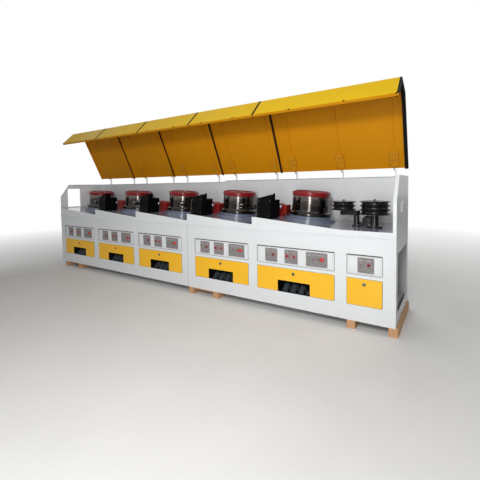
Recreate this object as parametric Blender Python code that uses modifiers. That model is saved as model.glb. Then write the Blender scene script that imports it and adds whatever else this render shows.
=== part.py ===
"""Straight-line wire drawing machine: five drums in a row on a sloping deck, under lifting covers.

Lengths are in metres. +X runs along the line, in the direction the wire takes, +Y to the back
and +Z up. The sizes count from the cabinet's lower left front corner; an empty then shifts the
whole machine, so that the ground is at zero and the bounding box is centred on X and Y.
"""

import math

import bmesh
import bpy
from mathutils import Matrix, Vector

# The whole machine
CABINET_LENGTH = 6.463
CABINET_DEPTH = 1.003
TIMBER_HEIGHT = 0.097
LEDGE_HEIGHT = 0.97
WALL_HEIGHT = 1.600
RIGHT_WALL_RISE = 0.022
SHEET = 0.004
GAP = 0.0003
RUNNING_GAP = 0.006
SHAFT_GAP = 0.0005
BLEND = 0.002
WELD = 0.00003

# Places along the line, as shares of the length from the left end
STEP_SHARES = (0.1891, 0.3692, 0.5515, 0.7294)
SLOPE_END_SHARE = 0.911
DRUM_SHARES = (0.0878, 0.2734, 0.4574, 0.6381, 0.8194)
OPENING_EDGE_SHARES = (
    (0.0232, 0.1782),
    (0.2016, 0.3579),
    (0.3787, 0.5322),
    (0.5744, 0.7200),
    (0.7413, 0.9001),
    (0.9213, 0.9798),
)
LID_SEAM_SHARES = (0.0, 0.1817, 0.3659, 0.5478, 0.7246, 1.0)
HINGE_SHARES = (
    (0.0360, 0.1622),
    (0.2247, 0.3474),
    (0.4054, 0.5232),
    (0.5820, 0.7049),
    (0.7572, 0.8676, 0.9745),
)
LEFT_DRUM_COUNT = 3

# Front openings, doors and the ledge's lip
DOOR_BOTTOM = 0.182
DOOR_HEIGHT = 0.305
DOOR_GAP = 0.003
DOOR_CORNER = 0.012
DOOR_RETURN = 0.018
TONGUE_WIDTH = 0.06
TONGUE_SETBACK = 0.03
TONGUE_DROP = 0.015
NOTCH_WIDTH = 0.43
NOTCH_HEIGHT = 0.147
LOCK_DROP = 0.062
LOCK_RADIUS = 0.017
LOCK_FACE = 0.005
CAM_WIDTH = 0.012
CONTROL_SPACING = 0.041
CONTROL_HEIGHT = 0.225
CONTROL_RECESS = 0.012
CONTROL_MARGIN = 0.02
LIP_DEPTH = 0.014
LIP_HEIGHT = 0.024

# Switch plates: their places in an opening, and the places of the switches on each plate
PLATE_THICKNESS = 0.003
PLATE_HEIGHT_SHARE = 0.76
PLATE_LEVEL_SHARE = 0.48
SWITCH_LEVEL_SHARE = 0.54
PLATE_CENTRE_SHARES = (0.199, 0.469, 0.788)
PLATE_WIDTHS = (0.174, 0.176, 0.264)
SWITCH_PLACE_SHARES = ((0.2, 0.68), (0.19, 0.75), (0.17, 0.37, 0.58, 0.76))
END_PLATE_CENTRE_SHARE = 0.54
SELECTOR_RADIUS = 0.012
KNOB_RADIUS = 0.018
GAUGE_RADIUS = 0.027
BUTTON_RADIUS = 0.012
STOP_RADIUS = 0.024
SWITCH_RISE = 0.010
SWITCH_SIDES = 8
PLATE_SWITCH_RADII = (
    (SELECTOR_RADIUS, KNOB_RADIUS),
    (GAUGE_RADIUS, GAUGE_RADIUS),
    (BUTTON_RADIUS, BUTTON_RADIUS, BUTTON_RADIUS, STOP_RADIUS),
)

# Pedals, behind the notches in the doors
PEDAL_BAY_DEPTH = 0.20
PEDAL_BAY_WALL = 0.004
PEDAL_WIDTH = 0.062
PEDAL_HEIGHT = 0.09
PEDAL_DEPTH = 0.12
PEDAL_SETBACK = 0.03
PEDAL_CENTRE_SHARES = (0.2, 0.45, 0.7)
PEDAL_OUTLINE_SHARES = (
    (0.0, 0.0),
    (1.0, 0.0),
    (1.0, 0.72),
    (0.9, 0.93),
    (0.7, 1.0),
    (0.48, 0.9),
    (0.22, 0.56),
    (0.0, 0.3),
)

# End panels; the openings count from the deck, from the wall's top or from the floor
PANEL_FLANGE = 0.035
CORNER_DROP = 0.256
CHAMFER_DEPTH = 0.184
WINDOW_FRONT = 0.155
WINDOW_WIDTH = 0.272
WINDOW_SILL = 0.015
WINDOW_HEAD = 0.09
SLOT_FRONT = 0.29
SLOT_WIDTH = 0.21
SLOT_RISE = 0.19
SLOT_HEIGHT = 0.13
SERVICE_FRONT = 0.107
SERVICE_BACK_MARGIN = 0.073
SERVICE_SILL = 0.014
SERVICE_HEIGHT = 0.646

# Base
FLOOR_TOP = 0.116
FLOOR_THICKNESS = 0.008
RAIL_WIDTH = 0.06
CROSS_MEMBERS = 4
TIMBER_WIDTH = 0.095
TIMBER_CENTRE_SHARES = (0.0248, 0.0979, 0.9283, 0.9962)
PAIR_CENTRE_SHARES = (0.5598, 0.6318)
BOARD_THICKNESS = 0.022
BOARD_SETBACK = 0.012
BOARD_DEPTH = 0.14

# Deck, in a saw-tooth of sloping plates that rise above the ledge
DECK_RISE = 0.038
STEP_HEIGHT = 0.102
DECK_THICKNESS = 0.012
UPSTAND_RISE = 0.006

# Drums, turned about an axis square to the deck; a round housing and a wider disc lie below
DRUM_LINE_SHARE = 0.5673
DRUM_RADIUS = 0.247
DRUM_WALL = 0.02
BARREL_HEIGHT = 0.212
DRUM_FLANGE_OVERHANG = 0.032
DRUM_FLANGE_THICKNESS = 0.022
DRUM_FLANGE_SLOPE = 0.008
DISC_OVERHANG = 0.093
DISC_THICKNESS = 0.03
PLINTH_HEIGHT = 0.08
SPINDLE_RADIUS = 0.055
SPINDLE_REACH = 0.042
HUB_HEIGHT = 0.06
COLLAR_OVERHANG = 0.007
COLLAR_HEIGHT = 0.063
COLLAR_ROUND = 0.010
DISH_DEPTH = 0.016
DISH_RIM = 0.016
BOSS_RADIUS = 0.04
BOSS_HEIGHT = 0.034
DRUM_STEPS = 24
SMOOTH_DEG = 35.0

# Die boxes, on the high side of each step in the deck, and the red guide boxes behind them
BOX_OFFSET = 0.05
BOX_LENGTH = 0.200
BOX_FRONT = 0.038
BOX_DEPTH = 0.26
BOX_HEIGHT = 0.246
HOOD_DEPTH = 0.112
HOOD_LOW = 0.256
HOOD_HIGH = 0.322
TAB_WIDTH = 0.024
TAB_RISE = 0.012
KNOB_BACK = 0.035
BOX_KNOB_HEIGHT = 0.153
BOX_KNOB_RADIUS = 0.018
BOX_KNOB_REACH = 0.03
GUARD_THICKNESS = 0.012
GUARD_WIDTH = 0.05
GUARD_BOTTOM = 0.06
GUARD_TOP = 0.225
GUIDE_ARM_LENGTH = 0.36
GUIDE_ARM_SIZE = 0.022
GUIDE_ARM_BACK = 0.17
GUIDE_ARM_HEIGHT = 0.09
ROLLER_RADIUS = 0.026
ROLLER_HEIGHT = 0.05
ROLLER_SIDES = 12
GUIDE_OFFSET = 0.02
GUIDE_LENGTH = 0.145
GUIDE_FRONT = 0.436
GUIDE_DEPTH = 0.165
GUIDE_HEIGHT = 0.17
GUIDE_COVER = 0.012

# Lids, shown open; their profile starts at the foot, behind the back wall
LID_SHEET = 0.003
LID_FLANGE = 0.035
LID_GAP = 0.006
LID_MAIN = 0.951
LID_CHAMFER = 0.3075
LID_STRIP = 0.3306
LID_OPEN_DEG = 65.0
LID_CHAMFER_BEND_DEG = 45.25
LID_STRIP_BEND_DEG = 63.3
LID_FOOT_FORWARD = 0.0514
LID_FOOT_RISE = 0.0235
RIB_WIDTH = 0.03
RIB_HEIGHT = 0.012
PIVOT_BACK = 0.064
PIVOT_RISE = 0.107
KNUCKLE_RADIUS = 0.014
KNUCKLE_LENGTH = 0.022
PIN_RADIUS = 0.006
PIN_SIDES = 8
ARM_REACH = 0.1
ARM_BEND = 0.05
BRACKET_DROP = 0.06
BRACKET_FOOT = 0.06

# Pulleys at the right end
LARGE_PULLEY_RADIUS = 0.172
SMALL_PULLEY_RADIUS = 0.147
LARGE_GROOVE_COUNT = 3
SMALL_GROOVE_COUNT = 2
GROOVE_DEPTH = 0.028
GROOVE_WIDTH = 0.042
GROOVE_FLAT = 0.018
RIM_THICKNESS = 0.009
PULLEY_DISH = 0.008
PULLEY_RIM = 0.03
NUT_RADIUS = 0.013
NUT_RISE = 0.02
BORE_SHARE = 0.6
AXLE_RADIUS = 0.022
LARGE_PULLEY_SHARE = 0.9545
LARGE_PULLEY_LINE_SHARE = 0.4158
LARGE_PULLEY_RISE = 0.156
SMALL_PULLEY_RISE = 0.197
COLUMN_RADIUS = 0.043
COLUMN_FLANGE_RADIUS = 0.088
COLUMN_FLANGE_THICKNESS = 0.02
POST_SHARE = 0.920
POST_LINE_SHARE = 0.4836
POST_RADIUS = 0.033
POST_FLANGE_RADIUS = 0.054
ARM_LENGTH = 0.16
ARM_WIDTH = 0.075
ARM_THICKNESS = 0.055
PULLEY_STEPS = 20
STAND_STEPS = 16

# Colours, as linear red, green and blue
WHITE = (0.75, 0.78, 0.80)
YELLOW = (0.93, 0.55, 0.02)
LID_YELLOW = (0.76, 0.46, 0.02)
DECK_BLUE = (0.20, 0.22, 0.28)
RED = (0.16, 0.01, 0.012)
BRIGHT_RED = (0.45, 0.02, 0.02)
BLACK = (0.012, 0.012, 0.013)
STEEL = (0.30, 0.31, 0.32)
GREY = (0.16, 0.19, 0.21)
WOOD = (0.62, 0.36, 0.18)

# What follows from the sizes above
DECK_LOW = LEDGE_HEIGHT + DECK_RISE
DECK_HIGH = DECK_LOW + STEP_HEIGHT
DOOR_TOP = DOOR_BOTTOM + DOOR_HEIGHT
NOTCH_TOP = DOOR_BOTTOM + NOTCH_HEIGHT
CONTROL_BOTTOM = DOOR_TOP + CONTROL_SPACING
CONTROL_TOP = CONTROL_BOTTOM + CONTROL_HEIGHT
BACK_INSIDE = CABINET_DEPTH - SHEET - GAP
DRUM_LINE = DRUM_LINE_SHARE * CABINET_DEPTH
DRUM_FLANGE_RADIUS = DRUM_RADIUS + DRUM_FLANGE_OVERHANG
DISC_RADIUS = DRUM_RADIUS + DISC_OVERHANG
COLLAR_RADIUS = DRUM_RADIUS + COLLAR_OVERHANG
PIVOT_Y = CABINET_DEPTH + PIVOT_BACK
PIVOT_HEIGHT = WALL_HEIGHT + PIVOT_RISE
BORE_RADIUS = AXLE_RADIUS + SHAFT_GAP
FRONT_Y = -(SHEET + GAP + LIP_DEPTH)
BACK_Y = PIVOT_Y + KNUCKLE_RADIUS
TIMBER_RIGHT = CABINET_LENGTH * TIMBER_CENTRE_SHARES[-1] + TIMBER_WIDTH / 2
CENTRE_X = max(CABINET_LENGTH, TIMBER_RIGHT) / 2
CENTRE_Y = (FRONT_Y + BACK_Y) / 2


def clear_scene():
    """Remove what the startup file holds."""
    for obj in list(bpy.data.objects):
        bpy.data.objects.remove(obj, do_unlink=True)


def new_collection(name, hidden):
    """A collection under the scene's own; a hidden one holds cutters and joined pieces."""
    collection = bpy.data.collections.new(name)
    bpy.context.scene.collection.children.link(collection)
    collection.hide_render = hidden
    return collection


def empty(name, place, parent):
    """A point that pieces hang on, such as a place on a hinge's axis."""
    point = bpy.data.objects.new(name, None)
    point.matrix_basis = place
    point.parent = parent
    PARTS.objects.link(point)
    return point


clear_scene()
PARTS = new_collection("wire_drawing_machine", False)
HELPERS = new_collection("cutters", True)
MACHINE = empty("machine", Matrix.Translation((-CENTRE_X, -CENTRE_Y, TIMBER_HEIGHT)), None)


def material(name, colour, metallic, roughness):
    """A plain surface of one colour."""
    made = bpy.data.materials.new(name)
    made.use_nodes = True
    surface = made.node_tree.nodes["Principled BSDF"]
    surface.inputs["Base Color"].default_value = (*colour, 1.0)
    surface.inputs["Metallic"].default_value = metallic
    surface.inputs["Roughness"].default_value = roughness
    return made


def even_fill(shape):
    """Turn the edges of a filled outline, so that no triangle in it is a mere line."""
    faces = [face for face in shape.faces if len(face.verts) == 3]
    edges = [
        edge for edge in shape.edges if all(len(face.verts) == 3 for face in edge.link_faces)
    ]
    bmesh.ops.beautify_fill(shape, faces=faces, edges=edges, method="AREA")


def as_mesh(obj):
    """A plain mesh in place of a curve or a modified object, with its seams welded."""
    evaluated = obj.evaluated_get(bpy.context.evaluated_depsgraph_get())
    mesh = bpy.data.meshes.new_from_object(evaluated)
    shape = bmesh.new()
    shape.from_mesh(mesh)
    bmesh.ops.remove_doubles(shape, verts=shape.verts, dist=WELD)
    if obj.type == "CURVE":
        even_fill(shape)
    bmesh.ops.recalc_face_normals(shape, faces=shape.faces)
    shape.to_mesh(mesh)
    shape.free()
    made = bpy.data.objects.new(obj.name, mesh)
    made.matrix_world = obj.matrix_world
    HELPERS.objects.link(made)
    bpy.data.objects.remove(obj, do_unlink=True)
    return made


def box(name, low, high):
    """A block between two corners."""
    low, high = Vector(low), Vector(high)
    shape = bmesh.new()
    bmesh.ops.create_cube(shape, size=1.0)
    size = Matrix.Diagonal((*(high - low), 1.0))
    place = Matrix.Translation((low + high) / 2)
    bmesh.ops.transform(shape, matrix=place @ size, verts=shape.verts)
    mesh = bpy.data.meshes.new(name)
    shape.to_mesh(mesh)
    shape.free()
    obj = bpy.data.objects.new(name, mesh)
    HELPERS.objects.link(obj)
    return obj


ACROSS = {
    "X": Matrix(((0, 0, 1, 0), (1, 0, 0, 0), (0, 1, 0, 0), (0, 0, 0, 1))),
    "Y": Matrix(((1, 0, 0, 0), (0, 0, -1, 0), (0, 1, 0, 0), (0, 0, 0, 1))),
    "Z": Matrix.Identity(4),
}


def prism(name, outlines, along, start, end):
    """Flat outlines, the later ones holes in the first, drawn out along one axis."""
    curve = bpy.data.curves.new(name, "CURVE")
    curve.dimensions = "2D"
    curve.fill_mode = "BOTH"
    curve.extrude = abs(end - start) / 2
    for outline in outlines:
        spline = curve.splines.new("POLY")
        spline.points.add(len(outline) - 1)
        for point, (across, up) in zip(spline.points, outline):
            point.co = (across, up, 0.0, 1.0)
        spline.use_cyclic_u = True
    obj = bpy.data.objects.new(name, curve)
    HELPERS.objects.link(obj)
    middle = [0.0, 0.0, 0.0]
    middle["XYZ".index(along)] = (start + end) / 2
    obj.matrix_world = Matrix.Translation(middle) @ ACROSS[along]
    return as_mesh(obj)


def turned(name, profile, place, steps):
    """A profile of (radius, height) turned about the local Z axis and set in its place."""
    mesh = bpy.data.meshes.new(name)
    points = [(radius, 0.0, height) for radius, height in profile]
    edges = [(i, i + 1) for i in range(len(points) - 1)]
    mesh.from_pydata(points, edges, [])
    obj = bpy.data.objects.new(name, mesh)
    HELPERS.objects.link(obj)
    screw = obj.modifiers.new("turn", "SCREW")
    screw.steps = steps
    screw.render_steps = steps
    screw.use_merge_vertices = True
    screw.merge_threshold = WELD
    obj.matrix_world = place
    made = as_mesh(obj)
    made.data.shade_smooth()
    made.data.set_sharp_from_angle(angle=math.radians(SMOOTH_DEG))
    return made


def combine(obj, others, operation):
    """Join the others to the object, or cut them from it, with one modifier each."""
    for other in others:
        modifier = obj.modifiers.new(operation.lower(), "BOOLEAN")
        modifier.operation = operation
        modifier.solver = "EXACT"
        modifier.object = other
        other.display_type = "WIRE"
    return obj


def joined(obj, others):
    """The object with the others fused to it."""
    return combine(obj, others, "UNION")


def cut(obj, others):
    """The object with the others taken out of it."""
    return combine(obj, others, "DIFFERENCE")


def hang(obj, parent):
    """Hang an object on its parent, together with all that is joined to it or cut from it."""
    obj.parent = parent
    for modifier in obj.modifiers:
        hang(modifier.object, parent)


def finish(obj, name, surface, parent=MACHINE):
    """Make a helper one of the machine's parts, placed from the point that it hangs on."""
    HELPERS.objects.unlink(obj)
    PARTS.objects.link(obj)
    obj.name = name
    obj.data.materials.append(surface)
    hang(obj, parent)
    return obj


def rounded(left, right, bottom, top, radius):
    """A rectangle whose corners are each cut off by a short straight line."""
    side = radius * (2 - math.sqrt(2))
    return [
        (left + side, bottom),
        (right - side, bottom),
        (right, bottom + side),
        (right, top - side),
        (right - side, top),
        (left + side, top),
        (left, top - side),
        (left, bottom + side),
    ]


def round_outline(centre, radius, sides):
    """A many-sided outline round a centre."""
    turns = [math.tau * (i + 0.5) / sides for i in range(sides)]
    return [(centre[0] + math.cos(t) * radius, centre[1] + math.sin(t) * radius) for t in turns]


def offset_line(points, distance):
    """A broken line moved to its left, with mitred corners."""
    points = [Vector(point) for point in points]
    ways = [(b - a).normalized() for a, b in zip(points, points[1:])]
    sides = [Vector((-way.y, way.x)) for way in ways]
    moved = [points[0] + sides[0] * distance]
    for point, before, after in zip(points[1:], sides, sides[1:]):
        middle = (before + after).normalized()
        moved.append(point + middle * (distance / middle.dot(before)))
    moved.append(points[-1] + sides[-1] * distance)
    return moved


def along_line(share):
    """A place along the line, from its share of the length."""
    return share * CABINET_LENGTH


def numbers_in(module, count):
    """Which of the bays, drums or lids, counted from the left, one frame holds."""
    return range(LEFT_DRUM_COUNT) if module == "left" else range(LEFT_DRUM_COUNT, count)


def frame_span(module):
    """The left and right ends of one frame, with a hair's gap at the seam."""
    seam = along_line(STEP_SHARES[LEFT_DRUM_COUNT - 1])
    return (0.0, seam - GAP) if module == "left" else (seam + GAP, CABINET_LENGTH)


def inner_span(module):
    """The ends of what lies between a frame's end panel and the seam."""
    left, right = frame_span(module)
    if module == "left":
        return left + PANEL_FLANGE + GAP, right
    return left, right - PANEL_FLANGE - GAP


def wall_height(module):
    """How high a frame's back wall and end panel stand."""
    return WALL_HEIGHT if module == "left" else WALL_HEIGHT + RIGHT_WALL_RISE


def slopes():
    """Where each sloping deck plate starts and ends along the line."""
    places = [0.0, *map(along_line, STEP_SHARES), along_line(SLOPE_END_SHARE)]
    return list(zip(places, places[1:]))


def deck_height(x):
    """The height of the deck's top surface at a place along the line."""
    for start, end in slopes():
        if start <= x < end:
            return DECK_HIGH - STEP_HEIGHT * (x - start) / (end - start)
    return DECK_LOW


def square_to_deck(x, y):
    """A place on the deck, with +Z square to the plate there."""
    angle = 0.0
    for start, end in slopes():
        if start <= x < end:
            angle = math.atan(STEP_HEIGHT / (end - start))
    return Matrix.Translation((x, y, deck_height(x))) @ Matrix.Rotation(angle, 4, "Y")


def saw_tooth(module, left, right, rise):
    """The deck's broken top line between two ends, raised by a height, from left to right."""
    points = []
    for number in numbers_in(module, len(DRUM_SHARES)):
        start, end = slopes()[number]
        points.append((start, DECK_HIGH + rise))
        points.append((end, DECK_LOW + rise))
    points[0] = (left, DECK_HIGH + rise)
    if module == "left":
        points.pop()
    points.append((right, DECK_LOW + rise))
    return points


def opening_span(number):
    """The left and right edges of a bay's openings."""
    left, right = OPENING_EDGE_SHARES[number]
    return along_line(left), along_line(right)


def front_panel(module, surface):
    """A frame's front sheet, with its saw-tooth top, its openings and the lip along the ledge."""
    left, right = frame_span(module)
    top = saw_tooth(module, left, right, UPSTAND_RISE)
    outline = [(left, 0.0), (right, 0.0), *reversed(top)]
    holes = []
    for number in numbers_in(module, len(OPENING_EDGE_SHARES)):
        low, high = opening_span(number)
        holes.append(rounded(low, high, DOOR_BOTTOM, DOOR_TOP, DOOR_CORNER))
        holes.append(rounded(low, high, CONTROL_BOTTOM, CONTROL_TOP, DOOR_CORNER))
    sheet = prism("sheet", [outline, *holes], "Y", -GAP - SHEET, -GAP)
    low = (left + GAP, FRONT_Y, LEDGE_HEIGHT - LIP_HEIGHT)
    high = (right - GAP, -GAP - SHEET / 2, LEDGE_HEIGHT)
    lip = box("lip", low, high)
    return finish(joined(sheet, [lip]), module + "_front_panel", surface)


def notch(left, right):
    """What is cut from a door for the pedals, and wider behind its sheet for their bay."""
    middle = (left + right) / 2
    half = NOTCH_WIDTH / 2
    room = half + PEDAL_BAY_WALL + DOOR_GAP
    beyond = DOOR_RETURN + SHEET
    over = NOTCH_TOP + PEDAL_BAY_WALL + DOOR_GAP
    front = box("notch", (middle - half, -beyond, 0.0), (middle + half, beyond, NOTCH_TOP))
    back = box("room", (middle - room, -GAP, 0.0), (middle + room, beyond, over))
    return [front, back]


def lock(middle):
    """A door's round lock, with the cam that holds behind the sheet above it."""
    centre = (middle, DOOR_TOP - LOCK_DROP)
    back = DOOR_RETURN + SHEET
    outline = round_outline(centre, LOCK_RADIUS, SWITCH_SIDES)
    barrel = prism("barrel", [outline], "Y", -GAP - SHEET - LOCK_FACE, back)
    low = (middle - CAM_WIDTH / 2, DOOR_RETURN + GAP, centre[1])
    high = (middle + CAM_WIDTH / 2, back - GAP, DOOR_TOP + CAM_WIDTH)
    return [barrel, box("cam", low, high)]


def tongue(start):
    """A door's foot, which hooks down behind the front sheet."""
    low = (start, 0.0, DOOR_BOTTOM - TONGUE_DROP)
    high = (start + TONGUE_WIDTH, SHEET - GAP, DOOR_BOTTOM + DOOR_GAP + SHEET / 2)
    return box("tongue", low, high)


def door(number, surface):
    """A yellow lift-off pan, notched for the pedals in every bay but the last."""
    left, right = opening_span(number)
    left, right = left + DOOR_GAP, right - DOOR_GAP
    bottom, top = DOOR_BOTTOM + DOOR_GAP, DOOR_TOP - DOOR_GAP
    outline = rounded(left, right, bottom, top, DOOR_CORNER)
    pan = prism("pan", [outline], "Y", -GAP - SHEET, DOOR_RETURN)
    inner = rounded(left + SHEET, right - SHEET, bottom + SHEET, top - SHEET, DOOR_CORNER - SHEET)
    cutters = [prism("inside", [inner], "Y", -GAP, DOOR_RETURN + SHEET)]
    if number < len(DRUM_SHARES):
        cutters += notch(left, right)
    cut(pan, cutters)
    feet = [tongue(left + TONGUE_SETBACK), tongue(right - TONGUE_SETBACK - TONGUE_WIDTH)]
    joined(pan, [*feet, *lock((left + right) / 2)])
    return finish(pan, f"door_{number + 1}", surface)


def switch_plate(left, right, places, radii):
    """One raised plate in a control opening, with round switches in a row on it."""
    height = CONTROL_HEIGHT * PLATE_HEIGHT_SHARE
    bottom = CONTROL_BOTTOM + CONTROL_HEIGHT * PLATE_LEVEL_SHARE - height / 2
    face = CONTROL_RECESS - SHEET
    front = face - PLATE_THICKNESS
    inside = CONTROL_RECESS - SHEET / 2
    pieces = [box("plate", (left, front, bottom), (right, inside, bottom + height))]
    for place, radius in zip(places, radii):
        centre = (left + (right - left) * place, bottom + height * SWITCH_LEVEL_SHARE)
        outline = round_outline(centre, radius, SWITCH_SIDES)
        pieces.append(prism("switch", [outline], "Y", front - SWITCH_RISE, face))
    return pieces


def switch_plates(number):
    """The plates in one bay: three by a drum, and a single one at the pulleys."""
    low, high = opening_span(number)
    rows = zip(PLATE_CENTRE_SHARES, PLATE_WIDTHS, SWITCH_PLACE_SHARES, PLATE_SWITCH_RADII)
    if number == len(DRUM_SHARES):
        rows = [(END_PLATE_CENTRE_SHARE, PLATE_WIDTHS[0], SWITCH_PLACE_SHARES[0], PLATE_SWITCH_RADII[0])]
    pieces = []
    for centre_share, width, places, radii in rows:
        centre = low + (high - low) * centre_share
        pieces += switch_plate(centre - width / 2, centre + width / 2, places, radii)
    return pieces


def control_panel(module, surface):
    """The white plate behind a frame's control openings, with what is mounted on it."""
    numbers = numbers_in(module, len(OPENING_EDGE_SHARES))
    left = opening_span(numbers[0])[0] - CONTROL_MARGIN
    right = opening_span(numbers[-1])[1] + CONTROL_MARGIN
    bottom, top = CONTROL_BOTTOM - CONTROL_MARGIN, CONTROL_TOP + CONTROL_MARGIN
    face = CONTROL_RECESS - SHEET
    strip = box("strip", (left, face, bottom), (right, CONTROL_RECESS, top))
    pieces = []
    for low, high in ((bottom, CONTROL_BOTTOM - BLEND), (CONTROL_TOP + BLEND, top)):
        near = (left + BLEND, 0.0, low + GAP)
        pieces.append(box("rim", near, (right - BLEND, face + SHEET / 2, high - GAP)))
    for number in numbers:
        pieces += switch_plates(number)
    return finish(joined(strip, pieces), module + "_control_panel", surface)


def pedal(middle):
    """One pedal under its rounded hood, standing on the floor of its bay."""
    floor = DOOR_BOTTOM - PEDAL_BAY_WALL / 2
    rise = PEDAL_HEIGHT + PEDAL_BAY_WALL / 2
    outline = [
        (PEDAL_SETBACK + PEDAL_DEPTH * back, floor + rise * up) for back, up in PEDAL_OUTLINE_SHARES
    ]
    return prism("pedal", [outline], "X", middle - PEDAL_WIDTH / 2, middle + PEDAL_WIDTH / 2)


def pedal_unit(number, surface):
    """An open-fronted dark box behind a door's notch, with three hooded pedals on its floor."""
    centre = sum(opening_span(number)) / 2
    half = NOTCH_WIDTH / 2
    wall = PEDAL_BAY_WALL
    low = (centre - half - wall, GAP * 2, DOOR_BOTTOM - wall)
    high = (centre + half + wall, PEDAL_BAY_DEPTH, NOTCH_TOP + wall)
    shell = box("shell", low, high)
    inner_low = (centre - half, -PEDAL_BAY_DEPTH, DOOR_BOTTOM)
    inner_high = (centre + half, PEDAL_BAY_DEPTH - wall, NOTCH_TOP)
    cut(shell, [box("hollow", inner_low, inner_high)])
    pedals = [pedal(centre - half + share * NOTCH_WIDTH) for share in PEDAL_CENTRE_SHARES]
    return finish(joined(shell, pedals), f"pedal_unit_{number + 1}", surface)


def side_outline(height, inset):
    """An end panel's outline in (depth, height), drawn in by an inset all round."""
    line = [
        (0.0, 0.0),
        (BACK_INSIDE, 0.0),
        (BACK_INSIDE, height),
        (CHAMFER_DEPTH, height),
        (0.0, WALL_HEIGHT - CORNER_DROP),
        (0.0, 0.0),
        (BACK_INSIDE, 0.0),
    ]
    return offset_line(line, inset)[1:-1]


def end_openings(module):
    """An end panel's openings, as (front, back, bottom, top)."""
    if module == "left":
        sill = DECK_HIGH + WINDOW_SILL
        return [(WINDOW_FRONT, WINDOW_FRONT + WINDOW_WIDTH, sill, WALL_HEIGHT - WINDOW_HEAD)]
    slot = DECK_LOW + SLOT_RISE
    service = FLOOR_TOP + SERVICE_SILL
    return [
        (SLOT_FRONT, SLOT_FRONT + SLOT_WIDTH, slot, slot + SLOT_HEIGHT),
        (SERVICE_FRONT, CABINET_DEPTH - SERVICE_BACK_MARGIN, service, service + SERVICE_HEIGHT),
    ]


def end_panel(module, surface):
    """A folded end panel: its outer sheet is whole, and a flange runs round its inner side."""
    height = wall_height(module)
    outer = frame_span(module)[0 if module == "left" else 1]
    inward = 1 if module == "left" else -1
    inner = outer + inward * PANEL_FLANGE
    skin = outer + inward * SHEET
    solid = prism("panel", [side_outline(height, 0.0)], "X", *sorted((outer, inner)))
    beyond = inner + inward * PANEL_FLANGE
    cutters = [prism("pocket", [side_outline(height, SHEET)], "X", *sorted((skin, beyond)))]
    for front, back, bottom, top in end_openings(module):
        low = (outer - PANEL_FLANGE, front, bottom)
        high = (outer + PANEL_FLANGE, back, top)
        cutters.append(box("hole", low, high))
    return finish(cut(solid, cutters), module + "_end_panel", surface)


def bracket(x_centre, height):
    """The fixed half of a lid hinge, standing on the back of the wall, with its pin."""
    half = KNUCKLE_LENGTH / 2
    start = x_centre + RUNNING_GAP / 2
    front, back = PIVOT_Y - KNUCKLE_RADIUS, PIVOT_Y + KNUCKLE_RADIUS
    seat = height - BRACKET_DROP
    inside = CABINET_DEPTH - SHEET / 2
    outline = [
        (inside, seat - BRACKET_FOOT),
        (back, seat),
        (back, PIVOT_HEIGHT),
        (PIVOT_Y, PIVOT_HEIGHT + KNUCKLE_RADIUS),
        (front, PIVOT_HEIGHT),
        (front, seat + front - inside),
        (inside, seat),
    ]
    plate = prism("bracket", [outline], "X", start, start + half)
    pin_start = x_centre - RUNNING_GAP / 2 - half - BLEND
    pin = round_outline((PIVOT_Y, PIVOT_HEIGHT), PIN_RADIUS, PIN_SIDES)
    return [plate, prism("pin", [pin], "X", pin_start, start + half / 2)]


def back_wall(module, surface):
    """A frame's back sheet, folded forward along its top, with the fixed hinge halves."""
    left, right = frame_span(module)
    height = wall_height(module)
    sheet = box("wall", (left, CABINET_DEPTH - SHEET, 0.0), (right, CABINET_DEPTH, height))
    fold_left, fold_right = inner_span(module)
    fold_low = (fold_left + GAP, CABINET_DEPTH - PANEL_FLANGE, height - SHEET)
    fold_high = (fold_right - GAP, CABINET_DEPTH - SHEET / 2, height - GAP)
    pieces = [box("fold", fold_low, fold_high)]
    for number in numbers_in(module, len(HINGE_SHARES)):
        for share in HINGE_SHARES[number]:
            pieces += bracket(along_line(share), height)
    return finish(joined(sheet, pieces), module + "_back_wall", surface)


def base_frame(module, surface):
    """A floor plate on two long rails and some cross members."""
    left, right = inner_span(module)
    front, back = GAP, BACK_INSIDE
    under = FLOOR_TOP - FLOOR_THICKNESS
    floor = box("floor", (left, front, under), (right, back, FLOOR_TOP))
    pieces = []
    for near, far in ((front, front + RAIL_WIDTH), (back - RAIL_WIDTH, back)):
        pieces.append(box("rail", (left, near, GAP), (right, far, under + BLEND)))
    pitch = (right - left - RAIL_WIDTH) / (CROSS_MEMBERS - 1)
    for i in range(CROSS_MEMBERS):
        low = (left + i * pitch, front + BLEND, GAP)
        high = (left + i * pitch + RAIL_WIDTH, back - BLEND, under + BLEND)
        pieces.append(box("cross", low, high))
    return finish(joined(floor, pieces), module + "_base_frame", surface)


def drum_place(number):
    """Where a drum's axis meets the deck, with +Z square to the deck."""
    return square_to_deck(along_line(DRUM_SHARES[number]), DRUM_LINE)


def drum_levels():
    """A drum's bottom, the top of its flange and its top, above the deck along its axis."""
    bottom = PLINTH_HEIGHT + RUNNING_GAP
    shoulder = bottom + DRUM_FLANGE_THICKNESS
    return bottom, shoulder, shoulder + BARREL_HEIGHT


def hub_level():
    """The underside of a drum's hub, above the deck along its axis."""
    return drum_levels()[2] - DRUM_WALL - HUB_HEIGHT


def plinth(number):
    """A drum's round housing on the deck, with its spindle."""
    below = -DECK_THICKNESS / 2
    spindle = hub_level() + SPINDLE_REACH
    profile = [
        (0.0, spindle),
        (SPINDLE_RADIUS, spindle),
        (SPINDLE_RADIUS, PLINTH_HEIGHT),
        (DRUM_FLANGE_RADIUS, PLINTH_HEIGHT),
        (DRUM_FLANGE_RADIUS, DISC_THICKNESS),
        (DISC_RADIUS, DISC_THICKNESS),
        (DISC_RADIUS, below),
        (0.0, below),
    ]
    return turned("plinth", profile, drum_place(number), DRUM_STEPS)


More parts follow.
